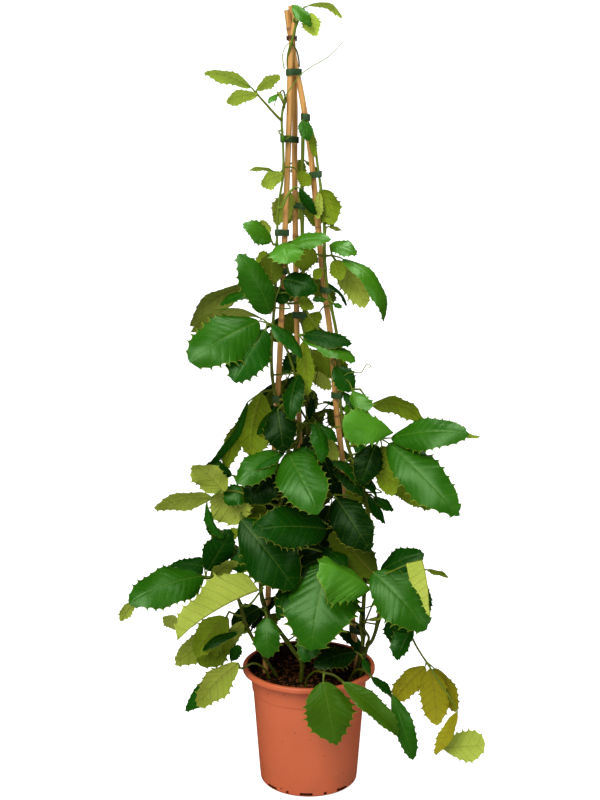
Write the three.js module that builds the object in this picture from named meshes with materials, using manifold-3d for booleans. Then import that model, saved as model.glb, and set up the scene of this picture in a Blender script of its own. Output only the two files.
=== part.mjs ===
import * as THREE from 'three';
import { mergeVertices } from 'three/addons/utils/BufferGeometryUtils.js';
import Module from 'manifold-3d';

// Potted chestnut vine: a climbing plant tied to a pyramid of three bamboo canes in a nursery pot.
// Lengths are millimetres, +Z is up, -Y is the front and the origin is the middle of the pot's foot.
// Places on the plant are hand measured in centimetres as [across, height, depth]: across and height
// as they look from the viewpoint, read on the upright plane through the pot's axis, and the depth
// behind that plane, which is negative towards the viewer.

const wasm = await Module();
wasm.setup();

// Viewpoint of the measured places
const EYE = new THREE.Vector3(-14, -1960, 968);
const CM = 10;

// Clearance between neighbours that touch on the real plant
const GAP = 0.4;

// Pot
const POT_HEIGHT = 190;
const RIM_RADIUS = 105;
const COLLAR_RADIUS = 94.4;
const STEP_HEIGHT = 150;
const STEP_RADIUS = 90;
const STEP_DEPTH = 1.4;
const FOOT_RADIUS = 75.5;
const FOOT_ROUND = 8;
const WALL = 2;
const FLOOR = 3;
const LIP_DROP = 8.5;
const POT_SIDES = 28;
const SLOT_COUNT = 5;
const LONG_SLOT = 20;
const SQUARE_SLOT = 6;
const SLOT_HEIGHT = 5;
const SLOT_CUT = 12;

// Soil
const SOIL_LEVEL = 171;
const SOIL_ROUGHNESS = 3.2;

// Canes
const CANE_RADIUS = 4.5;
const CANE_SIDES = 8;
const CANE_STEPS = 12;

// Stems
const STEM_SIDES = 5;
const STEM_RUN = 24;
const STEM_STUB = 5;
const HOLE_CLEARANCE = 0.55;

// Tape bands
const BAND_HEIGHT = 7;
const BAND_THICKNESS = 1.1;
const BAND_CORNERS = 5;
const BAND_REACH = 28;

// Leaf blades: a thin lens about the midrib, toothed towards the tip
const BLADE_THICKNESS = 1.5;
const STALK_RADIUS = 1.3;
const WIDEST_AT = 0.52;
const TOOTH_DEPTH = 0.13;
const PETIOLE_RADIUS = 1.7;
const STALK_SINK = 1.6;
const STALK_LEAD = 2.4;
const LONG_BLADE = 106;
const SHORT_BLADE = 35;
const BROAD_RIB = 45;

const COLORS = {
  terracotta: 0xc3673f,
  peat: 0x2b1a10,
  bamboo: 0xd69a63,
  tape: 0x2c4a34,
  leaf: 0x2f7a25,
};

// Canes: [name, path]
const CANES = [
  ['cane_left', [
    [-7.3, 7.2, 0.9], [-6.9, 18, 0.8], [-5.6, 49.3, 0.4], [-4.6, 66, 0.2], [-4.0, 79, 0], [-3.4, 93, -0.2],
    [-2.95, 105, -0.4], [-2.85, 110, -0.45], [-2.55, 115, -0.55], [-1.9, 119, -0.6]]],
  ['cane_right', [
    [7.5, 8.4, 0.8], [7.65, 18, 0.8], [7.0, 25, 0.75], [6.4, 36, 0.7], [5.2, 51.5, 0.6], [4.2, 60, 0.5],
    [3.3, 71, 0.5], [2.2, 79, 0.5], [1.0, 91, 0.5], [0, 100, 0.5], [-1.15, 107, 0.5], [-2.0, 111, 0.5],
    [-2.7, 115, 0.5], [-3.3, 119.1, 0.5]]],
  ['cane_back', [
    [-0.9, 9.5, 7.1], [-1.0, 22, 6.6], [-1.5, 56, 4.9], [-1.85, 71, 4.1], [-2.1, 88, 3.1], [-2.2, 98, 2.5],
    [-2.15, 105, 2.1], [-2.3, 110, 1.8], [-2.5, 115, 1.55], [-2.7, 119.7, 1.55]]],
];

// Stems: [node, radius in mm, path]; the first path of a node stands in the soil, others branch off it
const STEMS = [
  ['vine_left', 3.4, [
    [-1.5, 10.0, -3.8], [-1.3, 15.2, -4.2], [-1.2, 19.2, -4.6], [-2.5, 21.2, -4.7], [-4.5, 24.2, -4.2],
    [-6.3, 26.8, -2.6], [-7.4, 30, -1.2], [-7.5, 35, -0.9], [-6.3, 40, -1.4], [-4.2, 46, -1.5]]],
  ['vine_left', 2.5, [
    [-4.4, 45.5, -1.5], [-2.6, 52, -1.4], [-1.7, 57.2, -1.3], [-3.4, 59.4, -1.4], [-4.9, 61.2, -1.4],
    [-5.5, 64, -1.1], [-5.75, 68, -1.0], [-5.5, 73, -1.0], [-5.1, 79, -1.1], [-4.9, 85, -1.2]]],
  ['vine_left', 1.8, [
    [-4.9, 84.5, -1.2], [-4.6, 91, -1.4], [-3.7, 95.6, -1.6], [-3.4, 98, -1.6], [-3.9, 101, -1.3],
    [-4.2, 104, -1.2], [-3.9, 107.5, -1.3], [-3.4, 111.2, -1.6], [-2.6, 114.4, -1.9], [-2.0, 116.6, -1.9],
    [-1.3, 118.2, -1.9]]],
  ['vine_right', 3.4, [
    [6.6, 12.0, -1.2], [7.7, 18, -1.2], [8.5, 22, -1.0], [8.6, 28, -0.8], [8.9, 34, -0.8], [9.4, 39, -0.8],
    [9.3, 43, -0.8], [8.4, 47.5, -0.8]]],
  ['vine_right', 2.5, [
    [8.6, 47, -0.8], [6.9, 51.5, -1.0], [5.6, 56, -0.9], [4.8, 61, -0.9], [4.6, 66, -0.6], [4.2, 71.5, -0.6],
    [3.4, 75.5, -0.8], [2.7, 79, -0.8], [2.3, 83, -0.8], [2.3, 87.5, -0.7]]],
  ['vine_right', 2.0, [
    [2.3, 87, -0.7], [1.9, 92, -0.7], [1.2, 97, -0.7], [0.5, 101.5, -0.9], [-0.5, 103.6, -1.3]]],
  ['vine_right', 2.0, [
    [4.5, 67, -0.6], [3.1, 70, -1.3], [1.9, 71.6, -1.5], [0, 74.5, -1.6], [-1.6, 77.3, -1.6],
    [-2.6, 79.6, -1.7], [-3.4, 82, -2.0]]],
  ['vine_back', 3.0, [
    [1.6, 14.5, 4.4], [1.4, 22, 4.6], [0.4, 34, 4.8], [0.1, 46, 4.4], [-0.2, 57, 3.8], [-0.5, 68, 3.2],
    [-0.9, 80, 2.6], [-1.1, 92, 2.1], [-1.0, 99, 1.7], [-0.9, 105, 1.9]]],
  ['shoot_left', 2.8, [
    [-4.4, 11.5, -1.6], [-5.0, 16.4, -1.9], [-7.2, 20.2, -2.6], [-8.9, 23.2, -3.2], [-10.2, 26.2, -3.8],
    [-11.0, 29.4, -4.2], [-12.4, 31.8, -4.5], [-14.4, 33.1, -4.8], [-16.2, 33.2, -5.0]]],
  ['shoot_right', 2.8, [
    [7.6, 12.5, -3.2], [8.4, 17.5, -3.5], [9.2, 21.6, -3.6], [10.1, 23.0, -3.7], [10.9, 26.0, -3.9],
    [11.2, 29, -4.0], [10.4, 32, -4.0], [9.6, 35.4, -3.8]]],
  ['shoot_front', 1.8, [
    [-0.6, 12.0, -6.2], [-0.4, 15.9, -6.6], [0.4, 17.2, -8.2], [1.3, 17.7, -10.0], [2.5, 17.4, -11.6],
    [4.0, 17.0, -12.2], [5.3, 16.0, -12.4]]],
  ['shoot_low_left', 1.8, [
    [-5.6, 12.5, -3.4], [-6.3, 16.6, -3.7], [-7.3, 18.3, -4.3], [-8.8, 19.0, -5.0], [-10.3, 18.3, -5.4]]],
  ['shoot_low_right', 1.8, [
    [6.2, 12.5, -4.6], [6.6, 16.4, -5.0], [7.6, 17.9, -6.4], [8.8, 17.8, -8.0], [9.9, 16.8, -9.0],
    [11.4, 15.2, -9.6], [12.9, 13.7, -9.9]]],
];

// Leaves: [node, hub, petiole points from the stem to the hub, leaflets]
// Leaflet: [base across, height, depth, tip across, height, depth, width, roll, arch, fold]. The roll
// turns the glossy face from the viewer towards the clockwise side of the rib, in degrees, so that 180
// shows the underside; the arch is the rib's bow as a share of its length; the fold is how far each
// half drops from flat, in degrees.
const LEAVES = [
  // Tip of the plant
  ['vine_left', [-2.9, 119.4, -2.4], [[-2.3, 117.6, -2.3]], [
    [-3.1, 119.8, -2.7, -0.7, 117.1, -3.2, 2.3, -10, 0.10, 14]]],
  ['vine_left', [-1.3, 118.2, -1.9], [], [
    [-1, 118.8, -1.8, 0, 115.6, -1.7, 2.6, 165, 0.08, 14],
    [-1.4, 119.5, -1.7, 3.5, 118.1, -0.8, 2.4, -112, 0.22, 14]]],
  ['vine_left', [-8.4, 108.1, -1.9], [[-6.7, 106.2, -1.6]], [
    [-9.1, 109, -2, -15.5, 110.9, -3.2, 3.2, 128, 0.10, 14],
    [-8.3, 107.5, -2.1, -12.6, 107.2, -3.2, 3, 132, 0.10, 14],
    [-8.4, 108.7, -1.8, -5.1, 110.4, -1.2, 2.8, -134, 0.08, 14]]],
  ['vine_right', [-0.5, 103.6, -1.3], [], [
    [-1.6, 104.4, -1.5, -1.2, 101.8, -2.4, 2.2, -15, 0.08, 14],
    [-0.2, 102.6, -1.2, -0.4, 99.6, -1.4, 1.9, 150, 0.08, 18]]],
  // Young leaves of the upper part
  ['vine_left', [-4.6, 95.8, -1.7], [], [
    [-5.2, 96, -1.7, -8.9, 96.4, -2.4, 1.8, 110, 0.10, 12],
    [-3.9, 95.6, -1.8, -7.3, 94.2, -2.8, 3.2, 138, 0.08, 14]]],
  ['vine_left', [-2.2, 93.7, -2.1], [[-4.2, 90.6, -1.9], [-3.2, 92.6, -2]], [
    [-2.9, 93.1, -2.3, -5.2, 88.2, -3.4, 3.8, 150, 0.10, 16],
    [-1.9, 93.2, -2.4, -1.7, 88.9, -3.4, 2.3, 170, 0.08, 16],
    [-1.5, 93.6, -2.1, 1, 89.6, -2.6, 1.9, 30, 0.08, 16]]],
  ['vine_right', [1.7, 93.9, -0.7], [], [
    [1.7, 93.3, -1.4, 3.8, 88.3, -2, 4.4, -150, 0.14, 16],
    [1.5, 93, -1.2, 1.2, 89, -2.2, 1.6, 165, 0.05, 16]]],
  ['vine_right', [2.3, 87.6, -0.7], [], [
    [2.9, 87.9, -0.8, 4.9, 87.4, -1.6, 1.3, -120, 0.05, 12]]],
  ['vine_left', [-5.4, 85.2, -1.8], [], [
    [-5.7, 85.7, -2.2, -9.9, 88.3, -3.8, 3.6, 35, 0.08, 12],
    [-6, 86.6, -1.9, -7.2, 88.9, -1.8, 2, 140, 0.08, 12]]],
  ['vine_right', [-3.5, 85.4, -2.4], [], [
    [-3.1, 85.2, -2.7, 3.2, 86.2, -4.6, 3.2, -36, 0.08, 12],
    [-3.8, 85.5, -2.9, -3.4, 82.5, -6.6, 5.2, 0, 0.10, 12]]],
  ['vine_right', [1.5, 83.6, -1], [], [
    [1.2, 83.8, -1.4, -2.5, 82.6, -1.8, 4, 148, 0.08, 14]]],
  ['vine_left', [-5.5, 76.1, -1.6], [], [
    [-5.9, 74.8, -2.8, -10.4, 83.8, -5, 5, 20, 0.10, 14],
    [-5.9, 78.9, -2.3, -5.6, 84.1, -2.5, 3.8, 168, 0.08, 14],
    [-3.8, 80.1, -2.2, 1.2, 78.4, -3.8, 4.2, -20, 0.08, 12]]],
  // Right side of the upper part
  ['vine_right', [3.4, 83.6, -1.2], [], [
    [3.1, 85.2, -1.5, 7.2, 83.8, -3, 3.2, -40, 0.12, 12],
    [5, 83.1, -1.9, 11.7, 73.9, -3.4, 3.8, -48, 0.20, 14],
    [4, 82.9, -1, 8.6, 76, -0.8, 4.4, -164, 0.12, 16],
    [3.8, 82.9, -1.5, 4.7, 79.8, -2.4, 2.6, 170, 0.08, 14]]],
  ['vine_right', [2.4, 81.6, -1.2], [], [
    [1.9, 81.5, -1.4, 0.6, 80.2, -2, 1.7, 160, 0.05, 14]]],
  ['vine_right', [3.2, 76.7, -1.2], [], [
    [2.6, 77, -1.6, 0.5, 76.9, -2.6, 1.2, 40, 0.05, 12],
    [3.7, 76.4, -1.6, 4.9, 75.7, -2.4, 1.1, -40, 0.05, 12]]],
  // Left hub of the middle part
  ['vine_left', [-6.4, 73.4, -2.6], [[-2, 62.6, -2], [-2.8, 67.6, -2.3], [-4.6, 71.6, -2.5]], [
    [-7.6, 73.7, -3, -18.2, 67.7, -9.4, 8, 30, 0.08, 12],
    [-6.6, 72.4, -3.2, -11.5, 64.5, -9, 6.6, 10, 0.08, 14],
    [-7, 74, -2.6, -17.9, 72.6, -1.8, 5.6, 108, 0.20, 14],
    [-5.6, 73.2, -3, -0.9, 68.2, -4.6, 3.4, -48, 0.10, 22]]],
  ['vine_back', [-6.6, 78.4, 1.6], [[-3.2, 76.4, 1.4]], [
    [-8.2, 78.9, 1.5, -18.2, 73.3, 1.5, 5.6, 125, 0.16, 14],
    [-7.7, 78.1, 1.2, -13.6, 76.3, -0.2, 3, 60, 0.08, 10],
    [-6.8, 79.6, 1.8, -6.9, 84.2, 3.6, 3, 170, 0.08, 14]]],
  // Middle leaves before and behind the canes
  ['vine_right', [-1.6, 71.6, -2.2], [[2.6, 70.7, -1.9]], [
    [-0.9, 71.7, -2.4, 6.4, 70.3, -3.6, 3.6, -45, 0.05, 12],
    [-0.9, 70.8, -2.5, 7.1, 67.6, -4.4, 4.2, -58, 0.08, 12],
    [-0.9, 70.6, -2, -0.2, 62.4, -2.8, 2.8, 168, 0.06, 14]]],
  ['vine_back', [0.2, 69.4, 2.2], [], [
    [0.6, 68.9, 1.9, 6.2, 65.2, 2.4, 4.4, -160, 0.08, 14]]],
  ['vine_back', [-0.6, 66.2, 2.2], [], [
    [0.2, 65.7, 1.8, 3.4, 63.3, 1.6, 2.6, -150, 0.06, 12],
    [-1.4, 65.4, 1.8, -3.9, 62.3, 0.8, 2.4, 30, 0.05, 12]]],
  ['vine_left', [-7.2, 62.8, -1.8], [], [
    [-7.2, 62.5, -1.7, -9.1, 52.9, -2.4, 6.2, 152, 0.12, 14],
    [-9.4, 61.2, -2.4, -16.9, 50.2, -4.4, 2.6, -58, 0.10, -10],
    [-9.2, 59.4, -0.2, -13.3, 50.8, 1, 3.6, 150, 0.08, 14]]],
  ['vine_left', [-4, 60.8, -1.9], [], [
    [-4.8, 60, -3.2, -3.9, 53.5, -5.4, 5.2, 5, 0.06, 12]]],
  // Front hub of the middle part
  ['vine_left', [-3.4, 53.8, -2.9], [[-2.6, 52.6, -2.2]], [
    [-3.3, 53.4, -3.6, 1.4, 43.8, -11.4, 7.6, -5, 0.06, 14],
    [-4.5, 53.4, -3.4, -11.2, 48.5, -7.4, 4.8, 20, 0.08, 12],
    [-2.5, 53.4, -3.2, 1.4, 52, -4.6, 3.4, -30, 0.08, 12]]],
  ['vine_left', [-4.6, 49.6, -2], [], [
    [-5.1, 50.5, -2.6, -9.9, 45.3, -4.8, 6.2, 18, 0.06, 12]]],
  ['vine_back', [1, 54, 2.6], [], [
    [1.8, 53.5, 1.8, 4.6, 46.4, 0.6, 4.6, -10, 0.06, 12],
    [0.2, 53.2, 2, -1.4, 46, 0.8, 4.2, 10, 0.06, 12]]],
  ['vine_left', [-13.6, 47.4, -3.4], [[-7, 45.4, -2], [-10.4, 46.9, -2.9]], [
    [-13.2, 47, -3.6, -17.9, 51.5, -5.4, 5.6, 142, 0.08, 12],
    [-15.1, 46.1, -3.7, -24.1, 44.6, -6.2, 4.4, 128, 0.08, 12],
    [-15.9, 45.4, -5.2, -13.6, 39.6, -7.4, 2.8, 60, 0.08, -16],
    [-13.2, 47.5, -2.2, -11.1, 41.9, -2.2, 7.6, -154, 0.08, 14]]],
  ['vine_left', [-11.6, 49.6, -1.6], [[-6.6, 46.6, -1.6], [-9.4, 48.9, -1.6]], [
    [-11.9, 49.7, -1.8, -15.8, 51.5, -2.6, 3.2, 45, 0.08, 12],
    [-11, 48, -1.3, -7.3, 42.4, -1.7, 4.2, 162, 0.06, 14]]],
  ['vine_left', [-0.6, 57.9, -2], [[-1.4, 57.9, -1.7]], [
    [0, 57.9, -2.2, 4.5, 55.2, -3.6, 2.8, -45, 0.08, 12]]],
  // Right hub of the middle part
  ['vine_right', [7.8, 63.2, -2], [], [
    [7.5, 62.6, -2.4, 7, 58.7, -4.6, 5, 22, 0.08, 20],
    [9.6, 60.9, -1.6, 17.7, 58.3, -2.2, 4.6, -128, 0.20, 14]]],
  ['vine_right', [11, 55.5, -3.4], [[7, 54.4, -1.6], [9.2, 55.3, -2.6]], [
    [12.8, 56.4, -4.5, 5.5, 57.3, -8, 6.2, 24, 0.08, 12],
    [12.6, 55.6, -3.7, 24.5, 56.5, -9, 5.6, -32, 0.08, 12],
    [12.2, 54.8, -3.9, 23.5, 43.3, -12.6, 6.6, -12, 0.08, 12],
    [11.2, 54.4, -3.2, 12.7, 46.4, -3.8, 4.2, 168, 0.06, 14],
    [10.3, 54.6, -3.2, 8, 48.2, -5.2, 4.6, 6, 0.06, 12]]],
  ['vine_right', [10.6, 52.2, -0.4], [[8.6, 50.4, -0.4]], [
    [11.4, 51.8, -0.2, 17.4, 44.8, -0.6, 4.2, -160, 0.08, 14],
    [11.1, 52, 0.4, 20.6, 42.7, 1.4, 5, -164, 0.08, 14]]],
  ['vine_right', [5.6, 51.9, -1.8], [], [
    [5.9, 51.4, -2.1, 10.8, 46.1, -3.4, 3.8, -70, 0.08, 12],
    [6.7, 48.8, -1.4, 7.5, 44, -1.2, 3, 168, 0.06, 14]]],
  ['vine_right', [9.6, 46.6, -1.6], [], [
    [10, 46.3, -2, 13.2, 44, -3, 2.4, -50, 0.06, 12]]],
  // Dark leaves below the middle
  ['vine_right', [3.9, 46.6, -3.2], [[7.6, 46.4, -2]], [
    [4.2, 46.1, -3.8, 9.7, 37.5, -8.6, 6.2, -6, 0.08, 12]]],
  ['vine_left', [3.7, 41.4, -4.4], [[-2.6, 43.6, -2.8], [0.8, 43, -3.8]], [
    [2.8, 41.1, -4.9, -8.7, 41.1, -11, 7, 22, 0.08, 12]]],
  ['vine_left', [-10.7, 43.4, -3.2], [[-7.4, 41.4, -1.9]], [
    [-10.6, 42.7, -3.7, -2.2, 31.5, -8.6, 8.6, -5, 0.08, 12]]],
  ['vine_left', [3.2, 37, -3.8], [[-4.4, 37.6, -2], [-0.4, 38, -3]], [
    [2.4, 36.7, -4.2, -3.6, 32.6, -5.2, 3.8, 30, 0.08, 12],
    [2.9, 36.2, -4.6, 0.3, 21.2, -12.2, 11.4, 8, 0.06, 12]]],
  // Large front leaves
  ['shoot_right', [10.7, 32.8, -4.2], [], [
    [10.5, 33.3, -4.8, 3.4, 40.6, -4.8, 5.8, 150, 0.06, 14],
    [11.2, 34.3, -5, 18, 37.2, -7, 5, -32, 0.08, 12],
    [10.8, 33, -4, 13.8, 29.8, -3.4, 4.6, -160, 0.08, 14]]],
  ['shoot_right', [10.6, 33.2, -8.6], [[11, 31.8, -5.6]], [
    [9.8, 31.3, -9.4, 2, 35.9, -12.4, 9, 44, 0.05, 42],
    [10.1, 34.1, -9, 18.2, 24.7, -14, 8.4, -12, 0.10, 12],
    [16.3, 36.1, -13.4, 19.1, 26.7, -17, 4.6, 133, 0.06, -46]]],
  ['shoot_right', [18, 34.4, -6], [[14, 33.6, -5.2]], [
    [18.4, 34.5, -6, 22, 33.4, -6.6, 1.9, -115, 0.06, 12],
    [18.2, 33.8, -5.8, 19.6, 26.6, -6.2, 3, 20, 0.06, 12]]],
  ['shoot_right', [15, 27.4, -4.8], [[12.6, 27.2, -4.4]], [
    [13.3, 26.9, -4.9, 14.3, 21.7, -5.8, 4, 8, 0.06, 12],
    [16.5, 25.1, -5.2, 13.9, 19.6, -7.4, 3.8, 30, 0.06, -24]]],
  ['shoot_right', [8.2, 20.4, -4.4], [], [
    [7.5, 20.9, -4.9, 0.8, 18.7, -7.6, 4.4, 38, 0.08, 12],
    [8.6, 19.8, -4.8, 9.7, 17, -5.8, 1.6, -40, 0.06, 12]]],
  ['vine_left', [-6.8, 27.5, -4.4], [[-6.9, 28.2, -3]], [
    [-6.6, 26.7, -5, -6.6, 19.9, -7.4, 4.4, 10, 0.08, 12],
    [-7.8, 28.2, -2.4, -12.4, 25.4, -0.4, 4, 24, 0.06, 12]]],
  // Left low crown
  ['shoot_left', [-16.2, 33.2, -5], [], [
    [-16.6, 33.5, -5.4, -28.3, 29.4, -12, 7, 30, 0.08, 12],
    [-17, 34.2, -4.2, -23, 35.6, -4.8, 5.2, 42, 0.08, 12],
    [-16, 34.3, -4.7, -12.2, 40.8, -5.8, 4.6, 10, 0.06, 12],
    [-15.4, 33.3, -5.4, -11.3, 36.1, -6.4, 3.4, -128, 0.06, 12]]],
  ['shoot_left', [-11.9, 38.6, -3.6], [[-12.2, 34.6, -4]], [
    [-12.6, 39, -3.8, -16, 41.6, -4.4, 2.6, 40, 0.05, 12],
    [-11.2, 38.3, -4, -10.5, 33.8, -5.2, 3, 0, 0.06, 12]]],
  ['shoot_left', [-7.2, 31.5, -6.6], [[-9.6, 28.6, -5.2]], [
    [-7.9, 31.2, -7.2, -21, 23.1, -15.6, 8.6, 133, 0.06, -46]]],
  ['shoot_left', [-12.6, 27.6, -4.4], [[-10.9, 26.9, -4]], [
    [-13.1, 26.7, -5, -18.2, 20.4, -7.2, 5.2, 152, 0.08, 14],
    [-12.9, 26.8, -4.8, -15, 20.2, -4.8, 2.4, 160, 0.06, 12]]],
  ['shoot_left', [-12.3, 24.4, -3.6], [[-10.2, 24.1, -3.4]], [
    [-12.8, 24.1, -3.8, -17.3, 18.7, -4.8, 5.2, 160, 0.08, 14],
    [-13.2, 24.6, -3.2, -21.3, 19, -3.4, 4.6, 158, 0.08, 14]]],
  ['shoot_low_left', [-10.9, 18.2, -5.5], [], [
    [-11.3, 19.1, -6.2, -17.9, 12, -9, 5.4, 146, 0.08, 14],
    [-11.6, 18.2, -5, -20.1, 10.9, -4.4, 3.4, 24, 0.08, 12],
    [-12.4, 19.4, -5.3, -10.9, 21.9, -6, 1.9, -10, 0.06, 12]]],
  // Front low leaves over the pot
  ['shoot_front', [2.4, 17, -11.7], [], [
    [2.3, 15.9, -12.4, 4.4, 5.1, -14.2, 7.6, 0, 0.05, 14]]],
  ['shoot_front', [5.3, 16, -12.4], [], [
    [5.5, 15.7, -12.6, 14.5, 7, -14, 3.4, -22, 0.08, -16]]],
  // Right low leaves
  ['shoot_low_right', [9.9, 16.8, -9], [], [
    [9.9, 16.7, -9.4, 13.3, 13.8, -10.6, 2, -45, 0.08, 12]]],
  ['shoot_low_right', [12.9, 13.7, -9.9], [], [
    [13.3, 13.7, -10.1, 17, 2.4, -12, 3.2, -10, 0.08, 12]]],
  // Yellowish leaf that hangs far right
  ['shoot_right', [18.7, 19.2, -6.4], [[13.2, 27.2, -3.2], [15.4, 25, -3], [17.2, 21.6, -4.6]], [
    [18.5, 18.5, -6.5, 13.3, 12.5, -7.8, 4.2, 150, 0.08, 14],
    [19.4, 18.2, -6.7, 20.6, 8.6, -8.6, 4.6, -166, 0.08, 14],
    [19.9, 18.2, -6.3, 23.7, 10.9, -7.4, 3.6, -154, 0.08, 14],
    [23.8, 10.8, -10.4, 20.5, 3.6, -11.8, 2.4, -150, 0.06, 12],
    [21.6, 4.6, -10.2, 28.4, 5.3, -10.6, 4.8, 170, 0.05, 12]]],
];

// Leaves of the far side: [node, height on the stem, petiole length, azimuth, rise, leaflet length], in
// centimetres and degrees; azimuth 90 points straight back and 0 to the right
const BACK_LEAVES = [
  ['vine_back', 31, 9, 58, 18, 12.5],
  ['vine_back', 34, 9, 117, 20, 12.5],
  ['vine_back', 38, 9, 88, 22, 13],
  ['vine_back', 43, 8, 48, 24, 11.5],
  ['vine_back', 46, 8, 113, 24, 12],
  ['vine_back', 50, 8, 86, 26, 12],
  ['vine_back', 55, 7, 58, 28, 10.5],
  ['vine_back', 60, 6.5, 122, 30, 10.5],
  ['vine_back', 65, 6, 78, 30, 10],
  ['vine_back', 71, 5.5, 112, 34, 8.5],
  ['vine_back', 77, 4.5, 66, 35, 7.5],
  ['vine_back', 83, 4, 112, 35, 6.5],
  ['vine_back', 89, 3.5, 72, 35, 5.5],
  ['vine_back', 96, 3, 96, 35, 4.5],
];
const HAND_SPREAD = [0, 68, -68];
const HAND_SHARE = [1, 0.82, 0.82];
const HAND_DROOP = 40;
const HUB_SPAN = 8;
const BACK_LEAF_WIDTH = 0.55;
const BACK_LEAF_ARCH = 0.1;
const BACK_LEAF_FOLD = 14;

// Bands of tape: [node, height, canes and stems that it holds]
const BANDS = [
  ['band_right_1', 24.6, ['cane_right', 'vine_right']],
  ['band_left_1', 62, ['cane_left', 'vine_left']],
  ['band_right_2', 62.3, ['cane_right', 'vine_right']],
  ['band_right_3', 78.4, ['cane_right', 'vine_right']],
  ['band_back_1', 74.2, ['cane_back', 'vine_back']],
  ['band_left_2', 81.3, ['cane_left', 'vine_left']],
  ['band_left_3', 87, ['cane_left', 'vine_left']],
  ['band_back_2', 91, ['cane_back', 'vine_back']],
  ['band_right_4', 95.5, ['cane_right', 'vine_right']],
  ['band_left_4', 100.7, ['cane_left', 'vine_left']],
  ['band_top_1', 110.3, ['cane_left', 'cane_right', 'cane_back']],
  ['band_top_2', 115.2, ['cane_left', 'cane_right', 'cane_back']],
];

// Repeatable random numbers between 0 and 1
function dice(seed) {
  let state = seed;
  return () => {
    state = (state * 1664525 + 1013904223) % 4294967296;
    return state / 4294967296;
  };
}

// A measured place as a point of the model
function seen([across, height, depth]) {
  const onPlane = new THREE.Vector3(across * CM, 0, height * CM);
  return onPlane.sub(EYE).multiplyScalar(1 + (depth * CM) / -EYE.y).add(EYE);
}

function solid(geometry) {
  const bare = geometry.clone();
  bare.deleteAttribute('normal');
  bare.deleteAttribute('uv');
  const merged = mergeVertices(bare, 1e-4);
  return new wasm.Manifold(new wasm.Mesh({
    numProp: 3,
    vertProperties: new Float32Array(merged.attributes.position.array),
    triVerts: new Uint32Array(merged.index.array),
  }));
}

function geometryOf(body) {
  const mesh = body.getMesh();
  const geometry = new THREE.BufferGeometry();
  geometry.setAttribute('position', new THREE.BufferAttribute(mesh.vertProperties, 3));
  geometry.setIndex(new THREE.BufferAttribute(mesh.triVerts, 1));
  return geometry;
}

function joined(solids) {
  let layer = solids;
  while (layer.length > 1) {
    const next = [];
    for (let i = 0; i < layer.length; i += 2) {
      next.push(i + 1 < layer.length ? layer[i].add(layer[i + 1]) : layer[i]);
    }
    layer = next;
  }
  return layer[0];
}

function roundShape(radius, sides) {
  const shape = new THREE.Shape();
  for (let i = 0; i < sides; i++) {
    const turn = (i / sides) * Math.PI * 2;
    const point = [radius * Math.cos(turn), radius * Math.sin(turn)];
    if (i === 0) shape.moveTo(...point);
    else shape.lineTo(...point);
  }
  shape.closePath();
  return shape;
}

function rod(curve, radius, sides, steps) {
  const shape = roundShape(radius, sides);
  return new THREE.ExtrudeGeometry(shape, { steps, extrudePath: curve });
}

function curveThrough(points) {
  return new THREE.CatmullRomCurve3(points, false, 'centripetal');
}

// The middle of a rod at a height, on its straight runs
function centreAt({ curve, steps }, height) {
  const wanted = height * CM;
  for (let i = 0; i < steps; i++) {
    const low = curve.getPointAt(i / steps);
    const high = curve.getPointAt((i + 1) / steps);
    if (low.z <= wanted && wanted <= high.z) return low.lerp(high, (wanted - low.z) / (high.z - low.z));
  }
  return curve.getPointAt(1);
}

function reaches(curve, height) {
  const heights = curve.points.map((point) => point.z / CM);
  return Math.min(...heights) < height && Math.max(...heights) > height;
}

// The nearest middle of a node's stems to a point, on their straight runs
function nearestOn(stems, target) {
  const spots = stems.flatMap(({ curve, steps }) => {
    const knots = curve.getSpacedPoints(steps);
    const shares = [0, 0.2, 0.4, 0.6, 0.8];
    return knots.slice(1).flatMap((knot, i) => shares.map((share) => knots[i].clone().lerp(knot, share)));
  });
  return spots.reduce((best, spot) => (spot.distanceTo(target) < best.distanceTo(target) ? spot : best));
}

// Half width of a blade at a share of its length, as a share of the greatest half width
function halfWidth(u) {
  const bent = Math.pow(u, Math.log(0.5) / Math.log(WIDEST_AT));
  return Math.pow(Math.sin(Math.PI * bent), u < WIDEST_AT ? 0.8 : 0.7);
}

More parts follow.
